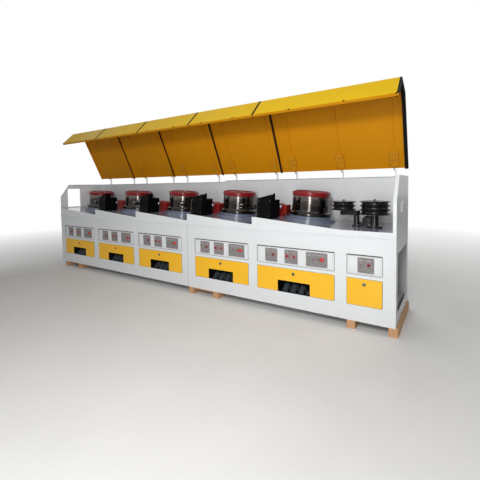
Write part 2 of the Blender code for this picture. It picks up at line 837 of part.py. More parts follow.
def under_deck(top):
    """The deck's underside below its top line, with risers as thick as the plates."""
    under = []
    for (x, z), (next_x, _) in zip(top, [*top[1:], (None, None)]):
        if next_x == x:
            riser = x + DECK_THICKNESS
            under.append((riser, z - DECK_THICKNESS))
            under.append((riser, deck_height(riser) - DECK_THICKNESS))
        elif not under or x > under[-1][0]:
            under.append((x, z - DECK_THICKNESS))
    return under


def deck(module, surface):
    """A frame's saw-tooth deck plates with the drum housings on them."""
    top = saw_tooth(module, *inner_span(module), 0.0)
    outline = [*top, *reversed(under_deck(top))]
    plates = prism("deck", [outline], "Y", GAP, BACK_INSIDE)
    housings = [plinth(number) for number in numbers_in(module, len(DRUM_SHARES))]
    return finish(joined(plates, housings), module + "_deck", surface)


def drum(number, surface):
    """A polished drum, open below, whose bored hub runs round the spindle."""
    bottom, shoulder, top = drum_levels()
    web = top - DRUM_WALL
    bore = SPINDLE_RADIUS + SHAFT_GAP
    profile = [
        (0.0, top),
        (DRUM_RADIUS, top),
        (DRUM_RADIUS, shoulder),
        (DRUM_FLANGE_RADIUS, shoulder - DRUM_FLANGE_SLOPE),
        (DRUM_FLANGE_RADIUS, bottom),
        (DRUM_RADIUS - DRUM_WALL, bottom),
        (DRUM_RADIUS - DRUM_WALL, web),
        (bore + DRUM_WALL, hub_level()),
        (bore, hub_level()),
        (bore, web),
        (0.0, web),
    ]
    made = turned("drum", profile, drum_place(number), DRUM_STEPS)
    return finish(made, f"drum_{number + 1}", surface)


def collar(number, surface):
    """The red cap on a drum: a ring round a sunken top with a boss in its middle."""
    bottom = drum_levels()[2] + GAP
    top = bottom + COLLAR_HEIGHT
    dish = top - DISH_DEPTH
    rim = COLLAR_RADIUS - COLLAR_ROUND
    profile = [
        (0.0, dish + BOSS_HEIGHT),
        (BOSS_RADIUS, dish + BOSS_HEIGHT),
        (BOSS_RADIUS, dish),
        (rim - DISH_RIM, dish),
        (rim - DISH_RIM, top),
        (rim, top),
        (COLLAR_RADIUS, top - COLLAR_ROUND),
        (COLLAR_RADIUS, bottom),
        (0.0, bottom),
    ]
    made = turned("collar", profile, drum_place(number), DRUM_STEPS)
    return finish(made, f"drum_collar_{number + 1}", surface)


def step_seat(name, number, offset):
    """A point on the deck's front edge just past a step, square to the plate there."""
    x = along_line(STEP_SHARES[number]) + offset
    return empty(name, square_to_deck(x, 0.0), MACHINE)


def hood():
    """The die box's front part, whose top slopes up to the right, with a tab on its corner."""
    back = BOX_FRONT + HOOD_DEPTH
    outline = [(0.0, GAP), (BOX_LENGTH, GAP), (BOX_LENGTH, HOOD_HIGH), (0.0, HOOD_LOW)]
    low = (BOX_LENGTH - TAB_WIDTH, back - TAB_WIDTH, HOOD_LOW)
    high = (BOX_LENGTH - BLEND, back - BLEND, HOOD_HIGH + TAB_RISE)
    return prism("hood", [outline], "Y", BOX_FRONT, back), box("tab", low, high)


def box_fittings():
    """The die box's guard on the left, and the knob of its cover on the right."""
    low = (-GUARD_THICKNESS, BOX_FRONT + BLEND, GUARD_BOTTOM)
    high = (BLEND, BOX_FRONT + GUARD_WIDTH, GUARD_TOP)
    centre = (BOX_FRONT + BOX_DEPTH - KNOB_BACK, BOX_KNOB_HEIGHT)
    outline = round_outline(centre, BOX_KNOB_RADIUS, SWITCH_SIDES)
    start = BOX_LENGTH - BOX_KNOB_REACH
    knob = prism("knob", [outline], "X", start, BOX_LENGTH + BOX_KNOB_REACH)
    return [box("guard", low, high), knob]


def wire_guide():
    """The arm that reaches back along the wire from a die box, with its roller."""
    y = BOX_FRONT + GUIDE_ARM_BACK
    half = GUIDE_ARM_SIZE / 2
    low = (-GUIDE_ARM_LENGTH, y - half, GUIDE_ARM_HEIGHT - half)
    arm = box("arm", low, (BLEND * 2, y + half, GUIDE_ARM_HEIGHT + half))
    outline = round_outline((-GUIDE_ARM_LENGTH, y), ROLLER_RADIUS, ROLLER_SIDES)
    bottom = GUIDE_ARM_HEIGHT - half - BLEND
    return [arm, prism("roller", [outline], "Z", bottom, bottom + ROLLER_HEIGHT)]


def die_box(number, surface):
    """A black die box: a hood in front, a lower part behind it, and the guide for the wire."""
    low = (BLEND, BOX_FRONT + HOOD_DEPTH - BLEND, GAP)
    high = (BOX_LENGTH - BLEND, BOX_FRONT + BOX_DEPTH, BOX_HEIGHT)
    front, tab = hood()
    joined(front, [box("body", low, high), tab, *box_fittings(), *wire_guide()])
    name = f"die_box_{number + 1}"
    return finish(front, name, surface, step_seat(name + "_seat", number, BOX_OFFSET))


def guide_box(number, surface):
    """The red guide box behind a die box, before the next drum, with its cover."""
    back = GUIDE_FRONT + GUIDE_DEPTH
    body = box("guide", (0.0, GUIDE_FRONT, GAP), (GUIDE_LENGTH, back, GUIDE_HEIGHT - GUIDE_COVER))
    low = (-BLEND, GUIDE_FRONT - BLEND, GUIDE_HEIGHT - GUIDE_COVER - BLEND)
    high = (GUIDE_LENGTH + BLEND, back + BLEND, GUIDE_HEIGHT)
    joined(body, [box("cover", low, high)])
    name = f"guide_box_{number + 1}"
    return finish(body, name, surface, step_seat(name + "_seat", number, GUIDE_OFFSET))


def lid_line():
    """The open lid's outer profile from its foot to its free edge, counted from the hinge pin."""
    angle = math.radians(180.0 - LID_OPEN_DEG)
    points = [Vector((-LID_FOOT_FORWARD, LID_FOOT_RISE))]
    bends = (0.0, LID_CHAMFER_BEND_DEG, LID_STRIP_BEND_DEG)
    for length, bend in zip((LID_MAIN, LID_CHAMFER, LID_STRIP), bends):
        angle += math.radians(bend)
        points.append(points[-1] + Vector((math.cos(angle), math.sin(angle))) * length)
    return points


def stretched(line, start, end):
    """A broken line with its first and last pieces made longer, or shorter below zero."""
    first = (line[0] - line[1]).normalized()
    last = (line[-1] - line[-2]).normalized()
    return [line[0] + first * start, *line[1:-1], line[-1] + last * end]


def lid_arm(x_centre):
    """The moving half of a hinge: a bored plate from the lid's back down to the pin."""
    foot, shoulder = lid_line()[:2]
    way = (shoulder - foot).normalized()
    inward = Vector((-way.y, way.x)) * (LID_SHEET / 2)
    round_way = way * KNUCKLE_RADIUS
    out_way = Vector((way.y, -way.x)) * KNUCKLE_RADIUS
    outline = [
        -round_way,
        out_way,
        out_way + way * ARM_BEND,
        foot + way * ARM_REACH + inward,
        foot + inward + way * BLEND,
        -out_way,
    ]
    bore = round_outline((0.0, 0.0), PIN_RADIUS + SHAFT_GAP, PIN_SIDES)
    end = x_centre - RUNNING_GAP / 2
    return prism("arm", [[tuple(point) for point in outline], bore], "X", end - KNUCKLE_LENGTH / 2, end)


def lid_rib(x_centre):
    """The stiffener on a lid's inner side, from a hinge's foot up to the bend."""
    foot, shoulder = lid_line()[:2]
    way = (shoulder - foot).normalized() * LID_FLANGE
    inward = Vector((-way.y, way.x)).normalized()
    near, far = inward * (LID_SHEET / 2), inward * (LID_SHEET + RIB_HEIGHT)
    outline = [foot + way + near, shoulder - way + near, shoulder - way + far, foot + way + far]
    outline = [tuple(point) for point in outline]
    return prism("rib", [outline], "X", x_centre - RIB_WIDTH / 2, x_centre + RIB_WIDTH / 2)


def lid(number, surface):
    """A folded lid with side flanges and a lip along its free edge, on two or three arms."""
    left = along_line(LID_SEAM_SHARES[number])
    right = along_line(LID_SEAM_SHARES[number + 1])
    middle = (left + right) / 2
    start = left - middle + (LID_GAP / 2 if number else 0.0)
    end = right - middle - (LID_GAP / 2 if number < len(HINGE_SHARES) - 1 else 0.0)
    line = lid_line()
    tray = prism("tray", [[*line, *reversed(offset_line(line, LID_FLANGE))]], "X", start, end)
    inside = stretched(line, LID_FLANGE, -LID_SHEET)
    near = offset_line(inside, LID_SHEET)
    far = offset_line(inside, LID_FLANGE + RIB_HEIGHT)
    hollow = prism("hollow", [[*near, *reversed(far)]], "X", start + LID_SHEET, end - LID_SHEET)
    cut(tray, [hollow])
    for share in HINGE_SHARES[number]:
        x_centre = along_line(share) - middle
        joined(tray, [lid_arm(x_centre), lid_rib(x_centre)])
    name = f"lid_{number + 1}"
    place = Matrix.Translation((middle, PIVOT_Y, PIVOT_HEIGHT))
    return finish(tray, name, surface, empty(name + "_hinge", place, MACHINE))


def pulley_stack(grooves):
    """The height of a pulley with this many grooves."""
    return grooves * (GROOVE_WIDTH + RIM_THICKNESS) + RIM_THICKNESS


def pulley(name, radius, grooves, place, surface, parent=MACHINE):
    """A grooved pulley with a dished top and a blind bore below, that runs on an upright pin."""
    height = pulley_stack(grooves)
    dish = height - PULLEY_DISH
    root = radius - GROOVE_DEPTH
    flank = (GROOVE_WIDTH - GROOVE_FLAT) / 2
    profile = [(0.0, height + NUT_RISE), (NUT_RADIUS, height + NUT_RISE), (NUT_RADIUS, dish)]
    profile.append((radius - PULLEY_RIM, dish))
    level = height
    for _ in range(grooves):
        lower = level - RIM_THICKNESS
        profile += [(radius, level), (radius, lower)]
        profile += [(root, lower - flank), (root, lower - flank - GROOVE_FLAT)]
        level = lower - GROOVE_WIDTH
    bore_top = height * BORE_SHARE
    profile += [(radius, level), (radius, 0.0), (BORE_RADIUS, 0.0)]
    profile += [(BORE_RADIUS, bore_top), (0.0, bore_top)]
    return finish(turned(name, profile, place, PULLEY_STEPS), name, surface, parent)


def stand(name, axis, sizes, surface, extras=()):
    """A round column on a flange, ending in a thinner pin."""
    radius, flange, shoulder, pin, top = sizes
    base = DECK_LOW + GAP
    profile = [
        (0.0, top - base),
        (pin, top - base),
        (pin, shoulder - base),
        (radius, shoulder - base),
        (radius, COLUMN_FLANGE_THICKNESS),
        (flange, COLUMN_FLANGE_THICKNESS),
        (flange, 0.0),
        (0.0, 0.0),
    ]
    made = turned(name, profile, Matrix.Translation((*axis, base)), STAND_STEPS)
    return finish(joined(made, extras), name, surface)


def capped(outline_half, corner, left):
    """The outline of a bar along X with cut corners, from its left end to the post at zero."""
    half = outline_half
    return [
        (half, -corner),
        (half, corner),
        (corner, half),
        (left - corner, half),
        (left - half, corner),
        (left - half, -corner),
        (left - corner, -half),
        (corner, -half),
    ]


def arm_levels():
    """The swing arm's underside and top."""
    top = DECK_LOW + SMALL_PULLEY_RISE - RUNNING_GAP
    return top - ARM_THICKNESS, top


def swing_arm(surface, black):
    """The short arm bored for the post, with a pin on its free end, and the pulley on that pin."""
    bottom, top = arm_levels()
    half = ARM_WIDTH / 2
    arm = prism("arm", [capped(half, half * (math.sqrt(2) - 1), -ARM_LENGTH)], "Z", bottom, top)
    level = DECK_LOW + SMALL_PULLEY_RISE
    pin_top = level + pulley_stack(SMALL_GROOVE_COUNT) * BORE_SHARE - RUNNING_GAP
    pin = [(0.0, pin_top), (AXLE_RADIUS, pin_top), (AXLE_RADIUS, top - BLEND), (0.0, top - BLEND)]
    place = Matrix.Translation((-ARM_LENGTH, 0.0, 0.0))
    joined(arm, [turned("pin", pin, place, STAND_STEPS)])
    bore_top = bottom + ARM_THICKNESS / 2
    under = bottom - BLEND
    bore = [(0.0, bore_top), (BORE_RADIUS, bore_top), (BORE_RADIUS, under), (0.0, under)]
    cut(arm, [turned("bore", bore, Matrix.Identity(4), STAND_STEPS)])
    at_post = Matrix.Translation((along_line(POST_SHARE), POST_LINE_SHARE * CABINET_DEPTH, 0.0))
    pivot = empty("swing_arm_pivot", at_post, MACHINE)
    finish(arm, "swing_arm", surface, pivot)
    place = Matrix.Translation((-ARM_LENGTH, 0.0, level))
    return pulley("small_pulley", SMALL_PULLEY_RADIUS, SMALL_GROOVE_COUNT, place, black, pivot)


def pulleys(black, grey):
    """The two pulleys at the right end, with the column, the post and the swing arm."""
    x, y = along_line(LARGE_PULLEY_SHARE), LARGE_PULLEY_LINE_SHARE * CABINET_DEPTH
    level = DECK_LOW + LARGE_PULLEY_RISE
    place = Matrix.Translation((x, y, level))
    pulley("large_pulley", LARGE_PULLEY_RADIUS, LARGE_GROOVE_COUNT, place, black)
    top = level + pulley_stack(LARGE_GROOVE_COUNT) * BORE_SHARE - RUNNING_GAP
    sizes = (COLUMN_RADIUS, COLUMN_FLANGE_RADIUS, level - RUNNING_GAP, AXLE_RADIUS, top)
    stand("pulley_column", (x, y), sizes, black)
    under = arm_levels()[0]
    pin_top = under + ARM_THICKNESS / 2 - RUNNING_GAP
    sizes = (POST_RADIUS, POST_FLANGE_RADIUS, under - RUNNING_GAP, AXLE_RADIUS, pin_top)
    stand("arm_post", (along_line(POST_SHARE), POST_LINE_SHARE * CABINET_DEPTH), sizes, black)
    swing_arm(grey, black)


def timber(name, centres, surface):
    """One bearer, or a pair held together by a board under the cabinet's front edge."""
    half = TIMBER_WIDTH / 2
    top = -GAP
    blocks = [
        box("bearer", (x - half, 0.0, -TIMBER_HEIGHT), (x + half, CABINET_DEPTH, top))
        for x in centres
    ]
    if len(centres) > 1:
        low = (centres[0] + half - BLEND, BOARD_SETBACK, top - BOARD_THICKNESS)
        high = (centres[1] - half + BLEND, BOARD_SETBACK + BOARD_DEPTH, top - GAP)
        blocks.append(box("board", low, high))
    return finish(joined(blocks[0], blocks[1:]), name, surface)


def build():
    """Make every part, each in its place on the machine."""
    white = material("white_paint", WHITE, 0.0, 0.4)
    yellow = material("door_yellow", YELLOW, 0.0, 0.35)
    lid_yellow = material("lid_yellow", LID_YELLOW, 0.0, 0.35)
    blue = material("deck_blue", DECK_BLUE, 0.0, 0.5)
    red = material("collar_red", RED, 0.0, 0.35)
    bright_red = material("guide_red", BRIGHT_RED, 0.0, 0.4)
    black = material("black_paint", BLACK, 0.0, 0.4)
    steel = material("polished_steel", STEEL, 1.0, 0.2)
    grey = material("pedal_grey", GREY, 0.0, 0.5)
    wood = material("timber", WOOD, 0.0, 0.8)
    for module in ("left", "right"):
        front_panel(module, white)
        control_panel(module, white)
        end_panel(module, white)
        back_wall(module, white)
        base_frame(module, white)
        deck(module, blue)
    for number in range(len(OPENING_EDGE_SHARES)):
        door(number, yellow)
    for number in range(len(DRUM_SHARES)):
        pedal_unit(number, grey)
        drum(number, steel)
        collar(number, red)
        lid(number, lid_yellow)
    for number in range(len(STEP_SHARES)):
        die_box(number, black)
        guide_box(number, bright_red)
    pulleys(black, grey)
    for number, share in enumerate(TIMBER_CENTRE_SHARES):
        timber(f"timber_{number + 1}", [along_line(share)], wood)
    timber("timber_pair", [along_line(share) for share in PAIR_CENTRE_SHARES], wood)


build()
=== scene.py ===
"""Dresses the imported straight-line wire drawing machine: paint, steel, rubber and timber finishes on its
bodies, with the turned, moulded and folded pieces that ride on them, on a pale studio floor."""

import math
import bmesh
import bpy
import numpy as np
from bpy.props import FloatProperty, FloatVectorProperty, PointerProperty
from mathutils import Matrix, Vector


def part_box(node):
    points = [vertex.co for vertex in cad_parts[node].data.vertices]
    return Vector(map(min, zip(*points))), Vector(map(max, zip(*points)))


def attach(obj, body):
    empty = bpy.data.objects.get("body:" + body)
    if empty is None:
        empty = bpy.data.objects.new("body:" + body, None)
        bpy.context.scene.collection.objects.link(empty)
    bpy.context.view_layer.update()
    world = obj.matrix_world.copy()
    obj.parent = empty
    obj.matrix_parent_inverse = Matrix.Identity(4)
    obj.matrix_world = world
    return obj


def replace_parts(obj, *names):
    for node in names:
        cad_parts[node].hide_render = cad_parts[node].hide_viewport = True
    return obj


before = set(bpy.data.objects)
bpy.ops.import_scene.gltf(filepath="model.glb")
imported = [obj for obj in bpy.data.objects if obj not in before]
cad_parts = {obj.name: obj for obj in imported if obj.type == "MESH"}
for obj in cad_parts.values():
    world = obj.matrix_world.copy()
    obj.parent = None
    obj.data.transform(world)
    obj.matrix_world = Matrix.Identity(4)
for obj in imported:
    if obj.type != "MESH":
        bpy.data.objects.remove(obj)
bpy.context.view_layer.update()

bl_info = {
    "name": "Wire Drawing Machine Finish",
    "version": (1, 0, 0),
    "blender": (4, 5, 0),
    "location": "View3D > Sidebar > Wire Machine",
    "description": "Finishes a straight-line wire drawing machine round its fixed frame",
    "category": "Object",
}

# The cabinet's left front lower corner, from which every place below is counted. All lengths are in metres.
CORNER = np.array(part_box("left_end_panel")[0])
LENGTH = 6.463
DEPTH = 1.003
LEDGE_HEIGHT = 0.97
DECK_LOW = 1.008
DECK_HIGH = 1.11
STEP_PLACES = np.array([0.1891, 0.3692, 0.5515, 0.7294]) * LENGTH
SLOPE_END = 0.911 * LENGTH
SEAM = STEP_PLACES[2]
SKIN = 0.0003  # how far a dressed face stands off the solid's own
LEFT, RIGHT, FRONT, BACK, UP = (-1, 0, 0), (1, 0, 0), (0, -1, 0), (0, 1, 0), (0, 0, 1)

# Smoothing angles of big turned pieces and of small round ones, and the steps round a drum, wheel and stand.
TURNED_DEG, SMALL_DEG = 30.0, 40.0
DRUM_STEPS, WHEEL_STEPS, STAND_STEPS = 128, 96, 48

# The front's openings by their left and right edges, the doors, pedal notches and switch plates.
EDGE_SHARES = (0.0232, 0.1782, 0.2016, 0.3579, 0.3787, 0.5322, 0.5744, 0.7200, 0.7413, 0.9001, 0.9213, 0.9798)
OPENING_EDGES = LENGTH * np.reshape(EDGE_SHARES, (6, 2))
SHEET_FACE = -0.0043
DOOR_BOTTOM, DOOR_TOP = 0.182, 0.487
DOOR_GAP = 0.003
DOOR_CORNER = 0.012
LOCK_HEIGHT = 0.425
NOTCH_WIDTH, NOTCH_TOP = 0.43, 0.329
# The pedals, rods and low block of a bay as shares of its notch's width, and the slope of a pedal's hood from
# its low to its high end as (y, height over the bay's floor).
PEDAL_CENTRES, ROD_CENTRES, BLOCK_CENTRE = (0.2, 0.45, 0.7), (0.325, 0.575, 0.83), 0.91
HOOD_LOW, HOOD_HIGH, RIB_HALF = np.array([0.0564, 0.04952]), np.array([0.114, 0.09]), 0.028
CONTROL_BOTTOM, CONTROL_TOP = 0.528, 0.753
FOLD_INSET = 0.028
PLATE_BOTTOM, PLATE_TALL, PLATE_FACE = 0.5505, 0.171, 0.005
PLATE_CENTRES = (0.199, 0.469, 0.788)
PLATE_WIDTHS = (0.174, 0.176, 0.264)
END_PLATE_CENTRE = 0.54
SWITCH_PLACES = ((0.2, 0.68), (0.19, 0.75), (0.17, 0.37, 0.58, 0.76))
SWITCH_KINDS = (("selector", "knob"), ("gauge", "gauge"), ("green", "dark_red", "amber", "stop"))
SWITCH_LEVEL = 0.54
LABEL_RISE = 0.047
SCREW_INSET = 0.014

# The drums, counted up from the deck along their own axes, with their housings and caps.
DRUM_PLACES = np.array([0.0878, 0.2734, 0.4574, 0.6381, 0.8194]) * LENGTH
DRUM_LINE = 0.569
PLINTH_HEIGHT = 0.08
DISC_HEIGHT, DISC_RADIUS = 0.03, 0.34
FLANGE_RADIUS, FLANGE_RIM, FLANGE_DROP = 0.279, 0.007, 0.024
DRUM_RADIUS, DRUM_WALL = 0.247, 0.02
DRUM_BOTTOM, DRUM_SHOULDER, DRUM_TOP = 0.086, 0.108, 0.32
DRUM_MIDDLE = (DRUM_TOP + DRUM_SHOULDER) / 2
HUB_LEVEL, HUB_BORE = 0.24, 0.0555
COLLAR_BOTTOM, COLLAR_TOP, COLLAR_RADIUS = 0.3203, 0.3833, 0.254
CAP_DISH, CAP_BOSS, CAP_BOLT_CIRCLE = 0.016, 0.01, 0.13
# Added to the rise once for each drum, so that no two drums wear alike. It is more than a drum's height.
RISE_STEP = 0.37

# The lids: pivot, foot and the bent line of the sheet in (y, z), with the hinges and bumpers as shares.
LID_SEAMS = np.array([0.0, 0.1817, 0.3659, 0.5478, 0.7246, 1.0]) * LENGTH
PIVOT = np.array([1.067, 1.707])
LID_FOOT = np.array([-0.0514, 0.0235])
LID_LENGTHS = (0.951, 0.3075, 0.3306)
LID_TURNS = np.radians((115.0, 160.25, 223.55))
LID_SHEET, LID_FLANGE, LID_GAP = 0.003, 0.035, 0.006
HINGES = ((0.0360, 0.1622), (0.2247, 0.3474), (0.4054, 0.5232), (0.5820, 0.7049), (0.7572, 0.8676, 0.9745))
BUMPERS = ((0.24, 0.74), (0.254, 0.731), (0.226, 0.745), (0.228, 0.721), (0.297, 0.679, 0.986))
PLATE_SIZE = (0.11, 0.22)
PLATE_MIDDLE, PLATE_THICK = 0.128, 0.015
PLATE_BOLTS = ((-0.02, -0.06), (-0.02, 0.01), (0.02, -0.06), (0.02, 0.01))
# The seal at the machine's right end is wider, outside and inside, by these factors.
END_SEAL = (1.7, 3.3)

# The die boxes and guide boxes, counted from the deck's front edge just past each step.
BOX_OFFSET, BOX_LENGTH, BOX_FRONT = 0.05, 0.2, 0.038
BOX_SCREWS = ((0.02, 0.04), (0.18, 0.04), (0.02, 0.225), (0.18, 0.24))
BOX_SEAMS = (0.215, 0.062)
GUARD_PLATE, GUARD_FLAP = (-0.0121, BOX_FRONT + 0.026, 0.1425), (-0.006, BOX_FRONT + 0.0015, 0.1425)
KNOB_PLACE, ROLLER_PLACE = (BOX_LENGTH - 0.002, BOX_FRONT + 0.225, 0.153), (-0.36, BOX_FRONT + 0.17, 0.077)
GUIDE_OFFSET, GUIDE_LENGTH, GUIDE_FRONT, GUIDE_DEPTH, GUIDE_HEIGHT = 0.02, 0.145, 0.436, 0.165, 0.17
CHUTE_GAP = 0.019
CHUTE_UNDERSIDE = 0.035

# The outlet pulleys as x, y, underside, radius and grooves; their stands as the radii of barrel and flange.
LARGE_PULLEY = (0.9545 * LENGTH, 0.4158 * DEPTH, DECK_LOW + 0.156, 0.172, 3)
POST = (0.920 * LENGTH, 0.4836 * DEPTH)
SMALL_PULLEY = (POST[0] - 0.16, POST[1], DECK_LOW + 0.197, 0.147, 2)
PULLEY_RIM, PULLEY_GROOVE, GROOVE_DEPTH, PULLEY_DISH = 0.009, 0.042, 0.028, 0.008
BORE_RADIUS, BORE_SHARE = 0.0225, 0.6
PIN_RADIUS, STAND_FOOT, STAND_GAP, ARM_TALL = 0.022, 0.02, 0.006, 0.055
COLUMN_RADII, POST_RADII = (0.043, 0.088), (0.033, 0.054)
# The circle and the count of each stand's foot bolts.
COLUMN_BOLTS, POST_BOLTS = (0.067, 6), (0.0435, 4)
# The mouth and the foot of the arm's bearing housing, counted from the post's foot.
HOUSING_MOUTH, HOUSING_FOOT = (0.128, 0.06, 0.073), (0.106, 0.01, 0.0)

# The back's cover panels by bottom and top, their and their screws' insets, and the end panels' screws.
COVER_LEVELS, COVER_INSET, COVER_SCREW = ((0.06, 0.86), (0.90, 1.52)), 0.05, 0.03
END_SCREW_LEVELS, END_SCREW_INSET = (0.08, 0.45, 0.85), 0.02
# The outer ends of the two bearers that a board joins, and the places of its nails.
PAIR_ENDS = (0.5598 * LENGTH, 0.6318 * LENGTH)
NAIL_INSET, NAIL_ROWS = 0.052, (0.04, 0.12)

# Profiles of (radius, height), each turned round its own axis.
KNOB_HEAD = ((0.0, 0.052), (0.019, 0.052), (0.025, 0.043), (0.025, 0.034))
KNOB = (*KNOB_HEAD, (0.011, 0.022), (0.011, 0.0), (0.0, 0.0))
ROLLER_TOP = ((0.0, 0.051), (0.024, 0.051), (0.027, 0.045), (0.018, 0.03))
ROLLER = (*ROLLER_TOP, (0.018, 0.02), (0.027, 0.005), (0.024, -0.001), (0.0, -0.001))
BUSH = ((0.0, 0.006), (0.012, 0.006), (0.02, 0.004), (0.022, 0.0), (0.0, 0.0))
BEARING_FACE = ((0.0, 0.09), (0.044, 0.09), (0.044, 0.084), (0.052, 0.084))
BEARING = (*BEARING_FACE, (0.060, 0.076), (0.060, 0.0), (0.0, 0.0))
BUMPER = ((0.0, 0.008), (0.010, 0.008), (0.013, 0.0), (0.0, 0.0))
LOCK_RING = ((0.0142, 0.0065), (0.0185, 0.0055), (0.0195, 0.0), (0.0142, 0.0), (0.0142, 0.0065))
LOCK_FACE = ((0.0, 0.0072), (0.0125, 0.0072), (0.0143, 0.0058), (0.0143, 0.0), (0.0, 0.0))
PEDAL_ROD = ((0.0, 0.085), (0.0035, 0.085), (0.0035, 0.0), (0.0, 0.0))
NAIL = ((0.0, 0.0002), (0.005, 0.0002), (0.005, -0.002), (0.0, -0.002))
SUNK_SCREW = ((0.0, 0.0), (0.011, 0.0), (0.011, 0.003), (0.0, 0.003))
# Each switch's head with its finish, and its bezel as radius, rise and finish.
SELECTOR = ((0.0, 0.012), (0.009, 0.012), (0.011, 0.0), (0.0, 0.0))
TURN_KNOB = ((0.0, 0.019), (0.011, 0.019), (0.013, 0.010), (0.013, 0.003), (0.0, 0.003))
DIAL = ((0.0, 0.0105), (0.020, 0.0105), (0.022, 0.004), (0.0, 0.004))
LENS = ((0.0, 0.014), (0.008, 0.014), (0.0105, 0.006), (0.0105, 0.0), (0.0, 0.0))
BUTTON = ((0.0, 0.012), (0.006, 0.012), (0.008, 0.006), (0.008, 0.0), (0.0, 0.0))
MUSHROOM = ((0.0, 0.022), (0.015, 0.021), (0.022, 0.017), (0.022, 0.013), (0.01, 0.010), (0.0, 0.010))
SWITCHES = {
    "selector": (SELECTOR, "black", (0.0135, 0.006, "zinc")),
    "knob": (TURN_KNOB, "black", (0.0195, 0.010, "red")),
    "gauge": (DIAL, "dial", (0.0285, 0.009, "gauge")),
    "green": (LENS, "green", (0.0135, 0.0105, "zinc")),
    "dark_red": (LENS, "dark_red", (0.0135, 0.0105, "zinc")),
    "amber": (BUTTON, "amber", (0.0135, 0.0105, "black")),
    "stop": (MUSHROOM, "red", (0.0262, 0.0105, "pink")),
}
SWITCH_FINISHES = ("black", "red", "dark_red", "green", "amber", "zinc", "pink", "gauge", "dial")


# ---- shapes -------------------------------------------------------------------------------------


def grid_faces(rows, columns):
    """Four-cornered faces between neighbouring rows of a grid whose last column joins its first."""
    row = np.arange(rows - 1)[:, None] * columns
    here = np.arange(columns)[None, :]
    after = (here + 1) % columns
    faces = [row + here, row + after, row + after + columns, row + here + columns]
    return np.stack(faces, axis=-1).reshape(-1, 4)


def softened(line, radius, steps=4, closed=False):
    """A broken line with soft corners. Each corner C between A and B becomes the parabola
    (1-t)^2 A' + 2t(1-t) C + t^2 B', where A' and B' lie a radius before and after the corner."""
    line = np.array(line, float)
    before, after = np.roll(line, 1, 0) - line, np.roll(line, -1, 0) - line
    reach_before = np.maximum(np.linalg.norm(before, axis=1, keepdims=True), 1e-9)
    reach_after = np.maximum(np.linalg.norm(after, axis=1, keepdims=True), 1e-9)
    start = line + before / reach_before * np.minimum(radius, reach_before * 0.45)
    end = line + after / reach_after * np.minimum(radius, reach_after * 0.45)
    t = np.linspace(0.0, 1.0, steps)[None, :, None]
    curves = (1 - t) ** 2 * start[:, None] + 2 * t * (1 - t) * line[:, None] + t**2 * end[:, None]
    if closed:
        return curves.reshape(-1, line.shape[1])
    return np.concatenate([line[:1], curves[1:-1].reshape(-1, line.shape[1]), line[-1:]])


def turned(profile, steps, soft=0.0, bends=4):
    """A profile of (r, h) carried round the Z axis: x = r cos a, y = r sin a, z = h. Its corners are
    softened first where a radius for that is given."""
    profile = softened(profile, soft, bends) if soft else np.array(profile, float)
    angle = np.linspace(0.0, math.tau, steps, endpoint=False)
    radius, height = profile[:, :1], profile[:, 1:]
    points = [radius * np.cos(angle), radius * np.sin(angle), height + 0 * angle]
    return np.stack(points, axis=-1).reshape(-1, 3), grid_faces(len(profile), steps)


def stacked(outline, levels, hollow=False):
    """A closed outline carried up through levels of (height, inset): each ring is the outline moved
    inwards along its own normals. The first and last rings close in their middle, or, when hollow,
    the last ring lies on the first and makes a frame."""
    outline = np.array(outline, float)
    along = np.roll(outline, -1, 0) - np.roll(outline, 1, 0)
    along /= np.linalg.norm(along, axis=1, keepdims=True)
    inward = np.stack([-along[:, 1], along[:, 0]], axis=1)
    levels = np.array(levels, float)
    flat = outline[None] + inward[None] * levels[:, 1, None, None]
    heights = levels[:, 0]
    if not hollow:
        middle = np.broadcast_to(outline.mean(0), flat[:1].shape)
        flat = np.concatenate([middle, flat, middle])
        heights = np.concatenate([heights[:1], heights, heights[-1:]])
    heights = np.broadcast_to(heights[:, None, None], (*flat.shape[:2], 1))
    points = np.concatenate([flat, heights], axis=2)
    return points.reshape(-1, 3), grid_faces(*flat.shape[:2])


def thin_frame(wide, tall, corner, line, low, high):
    """A narrow rectangular frame, its outer edge rounded at the corners, from a low to a high level."""
    outline = softened(rectangle(wide, tall), corner, 5, True)
    levels = [(low, 0.0), (high, 0.0), (high, line), (low, line), (low, 0.0)]
    return stacked(outline, levels, True)


def swept(section, path, side):
    """A closed section of (across, up) carried along a path: across runs along the side vector, up
    is square to it and to the path, and both ends close in their middle."""
    path, section = np.array(path, float), np.array(section, float)
    way = np.gradient(path, axis=0)
    way /= np.linalg.norm(way, axis=1, keepdims=True)
    side = np.array(side, float) / np.linalg.norm(side)
    up = np.cross(way, side)
    rings = path[:, None] + section[None, :, :1] * side + section[None, :, 1:] * up[:, None]
    first = np.broadcast_to(path[0] + 0 * rings[:1], rings[:1].shape)
    last = np.broadcast_to(path[-1] + 0 * rings[:1], rings[:1].shape)
    points = np.concatenate([first, rings, last])
    return points.reshape(-1, 3), grid_faces(*points.shape[:2])


def rectangle(wide, tall):
    """The corners of a rectangle round its middle, anticlockwise."""
    return np.array([[-1, -1], [1, -1], [1, 1], [-1, 1]]) * (wide / 2, tall / 2)


def slab(wide, tall, thick, corner=0.004, edge=0.001):
    """A rounded rectangle with a softened upper edge, lying on Z zero."""
    outline = softened(rectangle(wide, tall), corner, 4, True)
    return stacked(outline, [(0.0, 0.0), (thick - edge, 0.0), (thick, edge)])


